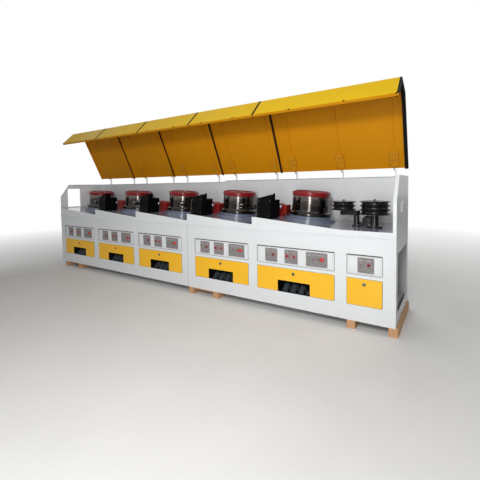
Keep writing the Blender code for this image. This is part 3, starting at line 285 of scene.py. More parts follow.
def hexagon_bolt(across, high):
    """A bolt's hexagon head with a bevelled top, on its washer, standing on Z zero."""
    ring = around(6, across / math.sqrt(3), 0.0, 0.0)[:, :2]
    bevel = across * 0.08
    head = stacked(ring, [(0.0, 0.0), (high - bevel, 0.0), (high, bevel)])
    rim = across * 0.72
    washer = turned([(0.0, 0.0), (rim, 0.0), (rim, high * 0.2), (0.0, high * 0.2)], 16)
    return together([head, washer])


def together(shapes):
    """Several shapes as one, the faces of each counted on from the points before it."""
    counts = np.cumsum([0] + [len(points) for points, _ in shapes[:-1]])
    points = np.concatenate([points for points, _ in shapes])
    faces = np.concatenate([faces + count for (_, faces), count in zip(shapes, counts)])
    return points, faces


def placed(shape, place):
    """A shape moved by a 4 by 4 matrix, or by a plain offset."""
    points, faces = shape
    if isinstance(place, Matrix):
        place = np.array(place)
        return points @ place[:3, :3].T + place[:3, 3], faces
    return points + np.array(place, float), faces


def facing(place, way, turn=0.0):
    """The place of a shape whose Z axis points along a way, turned about it."""
    aim = Vector(way).to_track_quat("Z", "Y").to_matrix().to_4x4()
    return Matrix.Translation(place) @ aim @ Matrix.Rotation(turn, 4, "Z")


def stuck(shape, spot, way=None, turn=0.0, seat=None):
    """A shape at a spot, its Z axis along a way if one is given, on a seat's own axes if there is one."""
    place = Matrix.Translation(spot) if way is None else facing(spot, way, turn)
    return placed(shape, place if seat is None else seat @ place)


def deck_height(x):
    """The height of the deck's top at a place along the line, from the low and high ends of its plates."""
    starts = np.array([0.0, *STEP_PLACES, SLOPE_END])
    number = int(np.searchsorted(starts, x, side="right")) - 1
    if number >= len(starts) - 1:
        return DECK_LOW
    share = (x - starts[number]) / (starts[number + 1] - starts[number])
    return DECK_HIGH - (DECK_HIGH - DECK_LOW) * share


def on_deck(x, y):
    """A place on the deck with Z square to the plate there."""
    slope = math.atan((deck_height(x) - deck_height(x + 0.1)) / 0.1) if x < SLOPE_END - 0.1 else 0.0
    return Matrix.Translation((x, y, deck_height(x))) @ Matrix.Rotation(slope, 4, "Y")


def lid_line(offset=0.0):
    """The open lid's bent line from foot to free edge in (y, z), moved inwards, with mitred bends."""
    ways = np.stack([np.cos(LID_TURNS), np.sin(LID_TURNS)], axis=1)
    sides = np.stack([-ways[:, 1], ways[:, 0]], axis=1)
    corners = np.cumsum([PIVOT + LID_FOOT, *(ways * np.array(LID_LENGTHS)[:, None])], axis=0)
    middles = sides[:-1] + sides[1:]
    middles /= (middles * sides[:-1]).sum(1, keepdims=True)
    return corners + offset * np.concatenate([sides[:1], middles, sides[-1:]])


def around(count, radius, turn, height):
    """Places evenly round the Z axis: x = r cos a, y = r sin a, with a counted on from a turn."""
    angle = np.arange(count) * math.tau / count + turn
    return np.column_stack([radius * np.cos(angle), radius * np.sin(angle), np.full(count, height)])


def piece(name, shapes, finish, body="cabinet", smooth_deg=35.0, rise=None):
    """Make one shown piece from its shapes: its mesh in the row frame, seams and poles closed, faces
    outwards, riding on a body."""
    points, faces = together(shapes)
    mesh = bpy.data.meshes.new(name)
    mesh.vertices.add(len(points))
    mesh.vertices.foreach_set("co", (points + CORNER).astype(np.float32).ravel())
    mesh.loops.add(faces.size)
    mesh.loops.foreach_set("vertex_index", faces.astype(np.int32).ravel())
    mesh.polygons.add(len(faces))
    mesh.polygons.foreach_set("loop_start", np.arange(0, faces.size, 4, dtype=np.int32))
    mesh.update(calc_edges=True)
    if rise is not None:
        mesh.attributes.new("rise", "FLOAT", "POINT").data.foreach_set("value", rise.astype(np.float32))
    shell = bmesh.new()
    shell.from_mesh(mesh)
    bmesh.ops.remove_doubles(shell, verts=shell.verts, dist=1e-6)
    bmesh.ops.dissolve_degenerate(shell, edges=shell.edges, dist=1e-7)
    bmesh.ops.recalc_face_normals(shell, faces=shell.faces)
    shell.to_mesh(mesh)
    shell.free()
    mesh.shade_smooth()
    mesh.set_sharp_from_angle(angle=math.radians(smooth_deg))
    mesh.materials.append(FINISHES[finish])
    made = bpy.data.objects.new(name, mesh)
    bpy.context.scene.collection.objects.link(made)
    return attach(made, body)


# ---- finishes -----------------------------------------------------------------------------------

FINISHES = {}
# The heights over the floor between which the dust on the cabinet thins out.
DUST_FULL, DUST_GONE = 0.1, 0.75
# The inputs of a range that is mapped from where most of a noise's values lie.
NOISE_RANGE = {1: 0.3, 2: 0.7}
# What makes a Mix node mix colours. Its inputs 0, 6 and 7 are then the share and the two colours.
MIX = {"output": 2, "data_type": "RGBA"}


def shade(code):
    """An sRGB hex colour as linear red, green, blue and a full alpha."""
    parts = np.array([int(code[i : i + 2], 16) for i in (1, 3, 5)]) / 255
    linear = np.where(parts <= 0.04045, parts / 12.92, ((parts + 0.055) / 1.055) ** 2.4)
    return (*linear.tolist(), 1.0)


def scaled(colour, factor):
    """A colour made darker or lighter, kept below full white."""
    return (*[min(1.0, channel * factor) for channel in colour[:3]], 1.0)


def node(tree, kind, inputs=None, output=0, **settings):
    """Add a shader node, set its properties, give each input a value or a link, and return an output."""
    made = tree.nodes.new("ShaderNode" + kind)
    for name, value in settings.items():
        setattr(made, name, value)
    for name, value in (inputs or {}).items():
        if isinstance(value, bpy.types.NodeSocket):
            tree.links.new(value, made.inputs[name])
        else:
            made.inputs[name].default_value = value
    return made.outputs[output]


def blank(name, **sockets):
    """A material and its tree, with what is the same all over set on the shader's own sockets."""
    made = bpy.data.materials.new(name)
    made.use_nodes = True
    for socket, value in sockets.items():
        made.node_tree.nodes["Principled BSDF"].inputs[socket.replace("_", " ")].default_value = value
    return made, made.node_tree


def lead(tree, **links):
    """Link outputs to the shader's sockets of the same names."""
    for socket, output in links.items():
        tree.links.new(output, tree.nodes["Principled BSDF"].inputs[socket.replace("_", " ")])


def coated(
    name, colour, rough, coat=0.0, cloud_mm=450.0, cloud=0.05, peel_mm=9.0, peel=0.06, dust=0.0, gloss=0.5
):
    """Powder coat or enamel on sheet: slow clouds of colour, a faint orange peel drawn coarse enough
    to show, a roughness that wanders with the clouds, and dust low down. Dark and deep paints have
    little gloss, because a white room would grey them."""
    made, tree = blank(name, Coat_Weight=coat, Coat_Roughness=0.12, Specular_IOR_Level=gloss)
    place = node(tree, "TexCoord", output="Object")
    clouds = node(tree, "TexNoise", {"Vector": place, "Scale": 1000 / cloud_mm, "Detail": 4.0})
    ends = {6: scaled(colour, 1 - cloud), 7: scaled(colour, 1 + cloud)}
    tint = node(tree, "Mix", {0: clouds, **ends}, **MIX)
    if dust:
        height = node(tree, "SeparateXYZ", {0: place}, "Z")
        low = node(tree, "MapRange", {0: height, 1: DUST_FULL, 2: DUST_GONE, 3: dust, 4: 0.0})
        share = node(tree, "Math", {0: low, 1: clouds}, operation="MULTIPLY")
        tint = node(tree, "Mix", {0: share, 6: tint, 7: shade("#8F8478")}, **MIX)
    roughness = node(tree, "MapRange", {0: clouds, **NOISE_RANGE, 3: rough - 0.05, 4: rough + 0.07})
    grain = node(tree, "TexNoise", {"Vector": place, "Scale": 1000 / peel_mm, "Detail": 2.0})
    bump = node(tree, "Bump", {"Strength": peel, "Distance": 0.002, "Height": grain})
    lead(tree, Base_Color=tint, Roughness=roughness, Normal=bump)
    return made


def lid_paint_and_shade(name, outside, inside, arm_colour, cloud_mm=770.0):
    """The lids' enamel: lemon on the faces that look up when the lid is open, and a deeper yellow on those
    that look down, which is painted shade of the same lemon. The two are told apart by the sheet's own
    normal, with cream arms below its foot."""
    made = coated(name, outside, 0.42, 0.0, 700.0, 0.05, gloss=0.1)
    tree = made.node_tree
    lemon = tree.nodes["Principled BSDF"].inputs["Base Color"].links[0].from_socket
    place = node(tree, "TexCoord", output="Object")
    clouds = node(tree, "TexNoise", {"Vector": place, "Scale": 1000 / cloud_mm, "Detail": 4.0})
    # The deeper yellow is painted shade: the faces that look down get it instead of the lemon.
    shaded_yellow = node(tree, "Mix", {0: clouds, 6: scaled(inside, 0.93), 7: scaled(inside, 1.07)}, **MIX)
    up = node(tree, "SeparateXYZ", {0: node(tree, "TexCoord", output="Normal")}, "Z")
    outer = node(tree, "MapRange", {0: up, 1: 0.05, 2: 0.15})
    both = node(tree, "Mix", {0: outer, 6: shaded_yellow, 7: lemon}, **MIX)
    height = node(tree, "SeparateXYZ", {0: place}, "Z")
    foot = float(PIVOT[1] + LID_FOOT[1] + CORNER[2])
    arm = node(tree, "MapRange", {0: height, 1: foot - 0.002, 2: foot - 0.001, 3: 1.0, 4: 0.0})
    lead(tree, Base_Color=node(tree, "Mix", {0: arm, 6: both, 7: arm_colour}, **MIX))
    return made


def worn_steel_and_painted_reflection(name, dark, light, painted_dark_reflection, ring_mm=6.25, band_mm=71.4):
    """Hardened steel, ground and then polished by the wire in fine rings up the barrel, drawn coarse enough
    to show. Below its mid line it is darker and bluer, which is a painted reflection."""
    made, tree = blank(name, Metallic=1.0)
    rise = node(tree, "Attribute", None, "Fac", attribute_name="rise")
    fine = node(tree, "Math", {0: rise, 1: 1000 / ring_mm}, operation="MULTIPLY")
    rings = node(tree, "TexNoise", {"W": fine, "Detail": 3.0}, noise_dimensions="1D")
    broad = node(tree, "Math", {0: rise, 1: 1000 / band_mm}, operation="MULTIPLY")
    bands = node(tree, "TexNoise", {"W": broad, "Detail": 1.0}, noise_dimensions="1D")
    worn = node(tree, "Math", {0: rings, 1: bands}, operation="MULTIPLY")
    worn = node(tree, "MapRange", {0: worn, 1: 0.1, 2: 0.5})
    tint = node(tree, "Mix", {0: worn, 6: dark, 7: light}, **MIX)
    own_rise = node(tree, "Math", {0: rise, 1: RISE_STEP}, operation="MODULO")
    # Painted reflection: below the drum's mid line the steel is painted darker and bluer.
    reflection_step = {1: DRUM_MIDDLE - 0.004, 2: DRUM_MIDDLE + 0.004, 3: 0.62, 4: 0.0}
    low = node(tree, "MapRange", {0: own_rise, **reflection_step})
    tint = node(tree, "Mix", {0: low, 6: tint, 7: painted_dark_reflection}, **MIX)
    roughness = node(tree, "MapRange", {0: rings, **NOISE_RANGE, 3: 0.13, 4: 0.2})
    bump = node(tree, "Bump", {"Strength": 0.015, "Distance": 0.0004, "Height": rings})
    lead(tree, Base_Color=tint, Roughness=roughness, Normal=bump)
    return made


def bright_metal(name, colour, rough, scratch_mm=5.0):
    """Plated or machined metal with fine scratches, drawn coarse enough to show, that change its gloss."""
    made, tree = blank(name, Metallic=1.0, Base_Color=colour)
    place = node(tree, "TexCoord", output="Object")
    scratches = node(tree, "TexNoise", {"Vector": place, "Scale": 1000 / scratch_mm, "Detail": 5.0})
    roughness = node(tree, "MapRange", {0: scratches, **NOISE_RANGE, 3: rough * 0.7, 4: rough * 1.4})
    lead(tree, Roughness=roughness)
    return made


def speckled(name, first, second, rough, speck_mm=3.0, gloss=0.5):
    """A printed plastic plate or rubber with fine specks, drawn coarse enough to show."""
    made, tree = blank(name, Roughness=rough, Specular_IOR_Level=gloss)
    place = node(tree, "TexCoord", output="Object")
    specks = node(tree, "TexNoise", {"Vector": place, "Scale": 1000 / speck_mm, "Detail": 1.0})
    share = node(tree, "MapRange", {0: specks, 1: 0.35, 2: 0.65})
    tint = node(tree, "Mix", {0: share, 6: first, 7: second}, **MIX)
    bump = node(tree, "Bump", {"Strength": 0.15, "Distance": 0.0005, "Height": specks})
    lead(tree, Base_Color=tint, Normal=bump)
    return made


def moulded(name, colour, rough=0.3, cloud_mm=11.1):
    """A moulded plastic or lens with a clear gloss over it and small clouds where it cooled unevenly."""
    made, tree = blank(name, Coat_Weight=0.5, Coat_Roughness=0.08)
    place = node(tree, "TexCoord", output="Object")
    clouds = node(tree, "TexNoise", {"Vector": place, "Scale": 1000 / cloud_mm, "Detail": 2.0})
    tint = node(tree, "Mix", {0: clouds, 6: scaled(colour, 0.92), 7: scaled(colour, 1.06)}, **MIX)
    roughness = node(tree, "MapRange", {0: clouds, **NOISE_RANGE, 3: rough - 0.04, 4: rough + 0.06})
    lead(tree, Base_Color=tint, Roughness=roughness)
    return made


def sawn_softwood(name, light, dark, ring_mm=9.24, fibre_mm=3.85):
    """Sawn pine: growth rings that run along the bearer and wander slowly, and sawn fibre drawn
    coarse enough to show. A wave texture has 20 radians to a unit."""
    made, tree = blank(name)
    place = node(tree, "TexCoord", output="Object")
    long_way = node(tree, "Mapping", {"Vector": place, "Scale": (1.0, 0.06, 1.0)})
    waves = {"Vector": long_way, "Scale": math.tau / 20 * 1000 / ring_mm, "Distortion": 7.0}
    rings = node(tree, "TexWave", {**waves, "Detail": 3.0, "Detail Scale": 1.4}, "Fac", bands_direction="X")
    fibre = node(tree, "TexNoise", {"Vector": long_way, "Scale": 1000 / fibre_mm, "Detail": 3.0})
    share = node(tree, "Math", {0: rings, 1: fibre}, operation="MULTIPLY")
    tint = node(tree, "Mix", {0: share, 6: light, 7: dark}, **MIX)
    roughness = node(tree, "MapRange", {0: fibre, **NOISE_RANGE, 3: 0.65, 4: 0.85})
    bump = node(tree, "Bump", {"Strength": 0.4, "Distance": 0.001, "Height": fibre})
    lead(tree, Base_Color=tint, Roughness=roughness, Normal=bump)
    return made


def make_finishes():
    """Every finish of the machine, from the colours in the panel."""
    paints = bpy.context.scene.wire_machine_colours
    cabinet, doors, outside, inside, deck, collars = (
        tuple(getattr(paints, key)) for key in ("cabinet", "doors", "lids", "lid_insides", "deck", "collars")
    )
    FINISHES.update(
        # Polyester powder coat: an even satin skin, dusty near the floor on the cabinet.
        white=coated("white_powder_coat", cabinet, 0.38, 0.1, 600.0, 0.03, 9.0, 0.05, 0.16),
        door=coated("yellow_powder_coat", doors, 0.34, 0.15, 500.0, 0.04),
        # Sprayed enamel on the lids: flat and deep. It is lemon, with a deeper yellow as painted shade on the
        # faces that look down and on the hinge plates, and a thin line of painted shadow round the hinge
        # plates.
        lid=lid_paint_and_shade("lid_enamel_and_painted_shade", outside, inside, shade("#D9D2BE")),
        lid_inside=coated("lid_inside_enamel", inside, 0.42, 0.0, 700.0, 0.05, gloss=0.25),
        lid_shadow=coated("lid_plate_painted_shadow", shade("#85560A"), 0.6, 0.0, 90.0, 0.1, gloss=0.2),
        # Glossy machine enamel: the drums mirror softly in the deck and their housings.
        deck=coated("deck_enamel", deck, 0.16, 0.7, 350.0, 0.08, 12.0, 0.04),
        plinth=coated("plinth_enamel", shade("#687081"), 0.22, 0.5, 300.0, 0.06),
        # Brushed-on red enamel: deep, with uneven gloss.
        collar=coated("collar_enamel", collars, 0.3, 0.15, 120.0, 0.12, 6.0, 0.04, gloss=0.28),
        guide=coated("guide_enamel", shade("#8A1E1C"), 0.35, 0.1, 120.0, 0.1, gloss=0.3),
        # Hardened and ground drum steel: near a mirror, ringed by the wire, and darker and bluer below the
        # mid line as a painted reflection.
        steel=worn_steel_and_painted_reflection("worn_steel_and_painted_reflection", shade("#4A4542"), shade("#7D756F"), shade("#25282B")),
        # Dark paints on cast and folded pieces: crinkled on the boxes, oily on cast iron, dull in the bays.
        # The grey edge strip is painted shade at the edges of the front openings.
        box=coated("black_crinkle_paint", shade("#08090B"), 0.42, 0.0, 90.0, 0.15, 5.0, 0.12, gloss=0.06),
        pulley=coated("black_cast_iron", shade("#101113"), 0.3, 0.0, 90.0, 0.2, 7.0, 0.08, gloss=0.4),
        arm=coated("arm_black_paint", shade("#121316"), 0.36, 0.0, 90.0, 0.15, gloss=0.25),
        pedal=coated("pedal_blue_grey", shade("#353C42"), 0.4, 0.0, 60.0, 0.1, gloss=0.2),
        liner=coated("pedal_bay_black", shade("#0A0A0B"), 0.6, 0.0, 60.0, 0.2, gloss=0.15),
        trim=coated("painted_edge_shade", shade("#4C4642"), 0.6, 0.0, 60.0, 0.1, gloss=0.2),
        # Zinc plate, chrome plate and oiled bare steel: from bright to dull small fasteners.
        zinc=bright_metal("zinc_plate", shade("#B9BCC0"), 0.3),
        chrome=bright_metal("polished_chrome", shade("#D6D8DB"), 0.12),
        dark_steel=bright_metal("oiled_steel", shade("#6A6663"), 0.3),
        # Extruded rubber: matt and nearly black. Etched label plate: grey with a salt-and-pepper look.
        rubber=speckled("black_rubber", shade("#0A0A0B"), shade("#161617"), 0.7, 3.0, 0.12),
        label=speckled("grey_label_plate", shade("#A19C9B"), shade("#5E5A59"), 0.5, 8.0, 0.3),
        # Moulded plastics: small, shiny spots of colour on the switch plates, and the rollers' ivory.
        gauge=moulded("muted_red_ring", shade("#B24A4E")),
        dial=moulded("dark_red_dial", shade("#8E3238")),
        black=moulded("black_plastic", shade("#141416")),
        red=moulded("red_plastic", shade("#C4141B")),
        dark_red=moulded("dark_red_lens", shade("#7A1018"), 0.2),
        green=moulded("green_lens", shade("#1C8A4B"), 0.2),
        amber=moulded("amber_lens", shade("#E0B020"), 0.2),
        pink=moulded("pink_red_ring", shade("#D85A5E")),
        ivory=moulded("ivory_plastic", shade("#DEDCD2"), 0.4),
        strip=moulded("grey_label_strip", shade("#B4AFAD"), 0.45),
        # Sawn pine: warm and rough, with growth rings along the bearers.
        wood=sawn_softwood("sawn_softwood", shade("#C99C72"), shade("#9E724A")),
    )


# ---- pieces -------------------------------------------------------------------------------------

# The finish of each CAD node that stays, by the start of its name. The rest are white.
NODE_FINISHES = {
    "door_": "door",
    "lid_": "lid",
    "left_deck": "deck",
    "right_deck": "deck",
    "guide_box": "guide",
    "die_box": "box",
    "pedal_unit": "pedal",
    "swing_arm": "arm",
    "timber": "wood",
}


def dress_frame_nodes():
    """Give each CAD node that stays its finish, and a rounded edge where sheet or timber shows one."""
    width = bpy.context.scene.wire_machine_sizes.edge
    for name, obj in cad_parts.items():
        finish = next((key for start, key in NODE_FINISHES.items() if name.startswith(start)), "white")
        obj.data.materials.clear()
        obj.data.materials.append(FINISHES[finish])
        weld = obj.modifiers.new("weld", "WELD")
        weld.merge_threshold = 0.0001
        bevel = obj.modifiers.new("edge", "BEVEL")
        bevel.width = width * (3 if name.startswith("timber") else 1)
        bevel.segments = 2
        bevel.limit_method = "ANGLE"
        bevel.angle_limit = math.radians(40)


def drum_profile():
    """A drum's closed profile: barrel with a mid line and a flared root, deep flange, web and hub."""
    inside, ceiling = DRUM_RADIUS - DRUM_WALL, DRUM_TOP - DRUM_WALL
    flange, drop = FLANGE_RADIUS + FLANGE_RIM, DRUM_BOTTOM - FLANGE_DROP
    line = [
        (0.0, DRUM_TOP),
        (DRUM_RADIUS, DRUM_TOP),
        (DRUM_RADIUS, DRUM_MIDDLE + 0.003),
        (DRUM_RADIUS - 0.0015, DRUM_MIDDLE),
        (DRUM_RADIUS, DRUM_MIDDLE - 0.003),
        (DRUM_RADIUS, DRUM_SHOULDER + 0.02),
        (DRUM_RADIUS + 0.01, DRUM_SHOULDER - 0.001),
        (flange, DRUM_SHOULDER - 0.008),
        (flange, drop),
        (flange - 0.004, drop),
        (flange - 0.004, DRUM_BOTTOM),
        (inside, DRUM_BOTTOM),
        (inside, ceiling),
        (HUB_BORE + DRUM_WALL, HUB_LEVEL),
        (HUB_BORE, HUB_LEVEL),
        (HUB_BORE, ceiling),
        (0.0, ceiling),
    ]
    return softened(line, 0.003)


def collar_profile():
    """A collar's closed profile: boss, sunken dish, rounded rim and side."""
    dish, rim, boss = COLLAR_TOP - CAP_DISH, COLLAR_RADIUS - 0.01, 0.04
    line = [(0.0, dish + CAP_BOSS), (boss, dish + CAP_BOSS), (boss, dish), (rim - 0.016, dish)]
    line += [(rim - 0.016, COLLAR_TOP), (rim, COLLAR_TOP), (COLLAR_RADIUS, COLLAR_TOP - 0.01)]
    return softened([*line, (COLLAR_RADIUS, COLLAR_BOTTOM), (0.0, COLLAR_BOTTOM)], 0.004, 5)


def make_drums():
    """The five drums and their collars in fine turned steel and enamel, with the screws of the caps,
    and the dark skirts and discs of the housings below them."""
    bolt = bpy.context.scene.wire_machine_sizes.bolt
    dish = COLLAR_TOP - CAP_DISH
    inner, outer = FLANGE_RADIUS - 0.004, FLANGE_RADIUS + 0.0015
    top, foot = PLINTH_HEIGHT + 0.0012, DISC_HEIGHT - 0.001
    skirt = [(inner, foot), (outer, foot), (outer, top), (inner, top), (inner, foot)]
    disc = [(FLANGE_RADIUS, DISC_HEIGHT), (DISC_RADIUS + 0.001, DISC_HEIGHT + 0.0012)]
    disc += [(DISC_RADIUS + 0.0016, 0.001), (FLANGE_RADIUS, 0.001), (FLANGE_RADIUS, DISC_HEIGHT)]
    skirts = []
    for number, x in enumerate(DRUM_PLACES):
        place, body = on_deck(x, DRUM_LINE), f"drum_{number + 1}"
        profile = drum_profile()
        rise = np.repeat(profile[:, 1] + RISE_STEP * number, DRUM_STEPS)
        barrel = placed(turned(profile, DRUM_STEPS), place)
        made = piece(f"barrel_{number + 1}", [barrel], "steel", body, TURNED_DEG, rise)
        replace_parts(made, body)
        cap = placed(turned(collar_profile(), DRUM_STEPS), place)
        made = piece(f"cap_{number + 1}", [cap], "collar", body, TURNED_DEG)
        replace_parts(made, f"drum_collar_{number + 1}")
        spots = around(8, CAP_BOLT_CIRCLE, 0.2, dish)
        screws = [stuck(hexagon_bolt(bolt, bolt * 0.5), spot, seat=place) for spot in spots]
        screws.append(stuck(hexagon_bolt(0.03, 0.008), (0.0, 0.0, dish + CAP_BOSS), seat=place))
        piece(f"cap_screws_{number + 1}", screws, "dark_steel", body)
        skirts += [placed(turned(ring, WHEEL_STEPS), place) for ring in (skirt, disc)]
    piece("housing_skirts", skirts, "plinth", smooth_deg=SMALL_DEG)


def pulley_height(grooves):
    """A pulley's height from its grooves and the rims between them."""
    return grooves * (PULLEY_GROOVE + PULLEY_RIM) + PULLEY_RIM


def pulley_profile(radius, grooves):
    """A pulley's closed profile: dished top with a nut, knife-edged rims and round-bottomed grooves."""
    level, rim, edge = pulley_height(grooves), PULLEY_RIM, radius - 0.002
    bore, nut, dish = level * BORE_SHARE, 0.013, level - PULLEY_DISH
    line = [(0.0, level + 0.02), (nut, level + 0.02), (nut, dish), (radius - 0.03, dish)]
    for _ in range(grooves):
        lower = level - rim
        line += [(edge, level - rim * 0.3), (radius, level - rim * 0.5), (edge, lower)]
        line += [(radius - GROOVE_DEPTH, lower - 0.012), (radius - GROOVE_DEPTH, lower - 0.030)]
        level = lower - PULLEY_GROOVE
    line += [(edge, level), (radius, level - rim * 0.5), (edge, 0.0)]
    line += [(BORE_RADIUS, 0.0), (BORE_RADIUS, bore), (0.0, bore)]
    return softened(line, 0.004)


def stand_profile(barrel, flange, shoulder, top):
    """A stand's closed profile from its foot: pin, shoulder, barrel, filleted flange."""
    top, shoulder = top - DECK_LOW - SKIN, shoulder - DECK_LOW - SKIN
    line = [(0.0, top), (PIN_RADIUS, top), (PIN_RADIUS, shoulder), (barrel, shoulder)]
    return softened([*line, (barrel, STAND_FOOT), (flange, STAND_FOOT), (flange, 0.0), (0.0, 0.0)], 0.003)


def make_pulleys():
    """Both pulleys, the column and the post in turned cast iron, with the washers, the foot bolts and
    the arm's round bearing housing between the stands."""
    for name, (x, y, z, radius, grooves) in (("large_pulley", LARGE_PULLEY), ("small_pulley", SMALL_PULLEY)):
        wheel = placed(turned(pulley_profile(radius, grooves), WHEEL_STEPS), (x, y, z))
        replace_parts(piece(name + "_wheel", [wheel], "pulley", name, TURNED_DEG), name)
        height = pulley_height(grooves)
        spots = around(4, radius * 0.5, 0.4, height - PULLEY_DISH)
        screws = [placed(turned(SUNK_SCREW, 20), spot + (x, y, z)) for spot in spots]
        over, low = height + 0.004, height - PULLEY_DISH - 0.0005
        washer = [(0.0, over), (0.024, over), (0.024, low), (0.0, low)]
        screws.append(placed(turned(washer, 32, 0.002, 3), (x, y, z)))
        piece(name + "_screws", screws, "dark_steel", name)
    shoulder = LARGE_PULLEY[2] - STAND_GAP
    column = (shoulder, shoulder + pulley_height(LARGE_PULLEY[4]) * BORE_SHARE)
    under = SMALL_PULLEY[2] - STAND_GAP - ARM_TALL
    post = (under - STAND_GAP, under + ARM_TALL / 2 - STAND_GAP)
    bolts = []
    for name, carried, (x, y), radii, levels, (circle, count) in (
        ("column_barrel", "pulley_column", LARGE_PULLEY[:2], COLUMN_RADII, column, COLUMN_BOLTS),
        ("post_barrel", "arm_post", POST, POST_RADII, post, POST_BOLTS),
    ):
        stand = placed(turned(stand_profile(*radii, *levels), STAND_STEPS), (x, y, DECK_LOW + SKIN))
        made = piece(name, [stand], "pulley", smooth_deg=TURNED_DEG)
        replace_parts(made, carried)
        spots = around(count, circle, 0.5, DECK_LOW + STAND_FOOT + SKIN)
        bolts += [placed(hexagon_bolt(0.011, 0.007), spot + (x, y, 0.0)) for spot in spots]
    post_foot = np.array([*POST, DECK_LOW])
    housing = stuck(turned(BEARING, STAND_STEPS, 0.004), post_foot + HOUSING_MOUTH, FRONT)
    foot = placed(slab(0.14, 0.10, 0.05, 0.012, 0.004), post_foot + HOUSING_FOOT)
    piece("arm_housing", [housing, foot], "pulley", smooth_deg=TURNED_DEG)
    piece("stand_bolts", bolts, "zinc")


def step_seat(number, offset):
    """The place on the deck's front edge just past a step, square to the plate there."""
    return on_deck(STEP_PLACES[number] + offset, 0.0)


def make_die_boxes():
    """What the die boxes and guide boxes carry: the steel guard, the cover knob, seams, screws,
    ceramic rollers, bushes, and the red chute from each guide box to just short of the next drum."""
    guards, knobs, screws, rollers, seams, bushes, chutes = [], [], [], [], [], [], []
    plate, flap = slab(0.054, 0.17, 0.003), slab(0.012, 0.166, 0.002, 0.002)
    seam = slab(0.16, 0.004, 0.002, 0.001, 0.0005)
    knob, roller, bush = turned(KNOB, 32, 0.004), turned(ROLLER, 40, 0.003), turned(BUSH, 28, 0.002, 3)
    screw = hexagon_bolt(0.010, 0.004)
    guide_middle = GUIDE_FRONT + GUIDE_DEPTH / 2
    for number in range(4):
        box, guide = step_seat(number, BOX_OFFSET), step_seat(number, GUIDE_OFFSET)
        guards.append(stuck(plate, GUARD_PLATE, LEFT, math.pi / 2, box))
        guards.append(stuck(flap, GUARD_FLAP, FRONT, seat=box))
        knobs.append(stuck(knob, KNOB_PLACE, RIGHT, seat=box))
        screws += [stuck(screw, (along, BOX_FRONT, up), FRONT, seat=box) for along, up in BOX_SCREWS]
        seams += [stuck(seam, (BOX_LENGTH / 2, BOX_FRONT, up), FRONT, seat=box) for up in BOX_SEAMS]
        rollers.append(stuck(roller, ROLLER_PLACE, seat=box))
        for back in (SCREW_INSET, GUIDE_DEPTH - SCREW_INSET):
            for along in (SCREW_INSET, GUIDE_LENGTH - SCREW_INSET):
                screws.append(stuck(screw, (along, GUIDE_FRONT + back, GUIDE_HEIGHT), seat=guide))
        guide_end = STEP_PLACES[number] + GUIDE_OFFSET + GUIDE_LENGTH
        reach = DRUM_PLACES[number + 1] - FLANGE_RADIUS - CHUTE_GAP - guide_end
        outline = softened(rectangle(reach + 0.004, GUIDE_DEPTH - 0.012), 0.006, 4, True)
        levels = [(CHUTE_UNDERSIDE, 0.0), (GUIDE_HEIGHT - 0.010, 0.0), (GUIDE_HEIGHT - 0.007, 0.003)]
        spot = (GUIDE_LENGTH + reach / 2 - 0.002, guide_middle, 0.0)
        chutes.append(stuck(stacked(outline, levels), spot, seat=guide))
        short = reach - (DISC_RADIUS - FLANGE_RADIUS) + 0.013
        foot = slab(short + 0.004, GUIDE_DEPTH - 0.02, CHUTE_UNDERSIDE + 0.002)
        chutes.append(stuck(foot, (GUIDE_LENGTH + short / 2 - 0.002, guide_middle, 0.0), seat=guide))
        bushes.append(stuck(bush, (0.0, guide_middle, 0.1), LEFT, seat=guide))
        bushes.append(stuck(bush, (GUIDE_LENGTH / 2, GUIDE_FRONT, 0.1), FRONT, seat=guide))
    piece("die_box_guards", guards, "dark_steel")
    piece("die_box_knobs", knobs, "zinc", smooth_deg=TURNED_DEG)
    piece("die_box_screws", screws, "dark_steel")
    piece("die_box_seams", seams, "rubber")
    piece("wire_rollers", rollers, "ivory", smooth_deg=TURNED_DEG)
    piece("guide_bushes", bushes, "dark_steel", smooth_deg=TURNED_DEG)
    piece("guide_chutes", chutes, "guide")


def lid_span(number):
    """The left and right ends of one lid along the line."""
    left = LID_SEAMS[number] + (LID_GAP / 2 if number else 0.0)
    right = LID_SEAMS[number + 1] - (LID_GAP / 2 if number < 4 else 0.0)
    return left, right


def on_lid(x, line):
    """A line of (y, z) as points at one place along the machine."""
    return np.stack([np.full(len(line), x), line[:, 0], line[:, 1]], axis=1)


def lid_edging(end, way, wide_out, wide_in):
    """Rubber along one end of a lid, to the given side of it: a band on the outside of the sheet and
    one over the flange's edge."""
    band, bead = rectangle(wide_out, 0.003), softened(rectangle(wide_in, 0.008), 0.002, 3, True)
    outer = on_lid(end + way * wide_out / 2, softened(lid_line(-0.0008), 0.004, 3))
    inner = on_lid(end + way * wide_in / 2, softened(lid_line(LID_FLANGE), 0.02))
    return [swept(band, outer, RIGHT), swept(bead, inner, RIGHT)]


def hinge_plate(x, foot, way, inward):
    """A hinge's plate on the lid: straight above, round below, with a thin dark line of painted shadow along
    its sides and its round end; with the places of its four bolts."""
    face = facing((x, *(foot + way * PLATE_MIDDLE)), (0.0, *inward))
    half, tall = PLATE_SIZE[0] / 2, PLATE_SIZE[1] / 2
    down = 1.0 if (face.to_3x3() @ Vector(BACK)).z < 0 else -1.0
    angle = np.linspace(0.0, math.pi, 13)
    bottom = np.stack([half * np.cos(angle), (tall - half) + half * np.sin(angle)], axis=1)
    outline = np.concatenate([[(half, -tall)], bottom, [(-half, -tall)]]) * down
    # The dark line round the plate is painted shadow.
    rim = np.column_stack([outline, np.full(len(outline), PLATE_THICK - 0.0002)])
    shadow_line = swept(rectangle(0.0016, 0.0045), rim, UP)
    plate = stacked(outline, [(0.0, 0.0), (PLATE_THICK, 0.0)])
    spots = [(across, down * up, PLATE_THICK) for across, up in PLATE_BOLTS]
    return placed(shadow_line, face), placed(plate, face), [face @ Matrix.Translation(spot) for spot in spots]


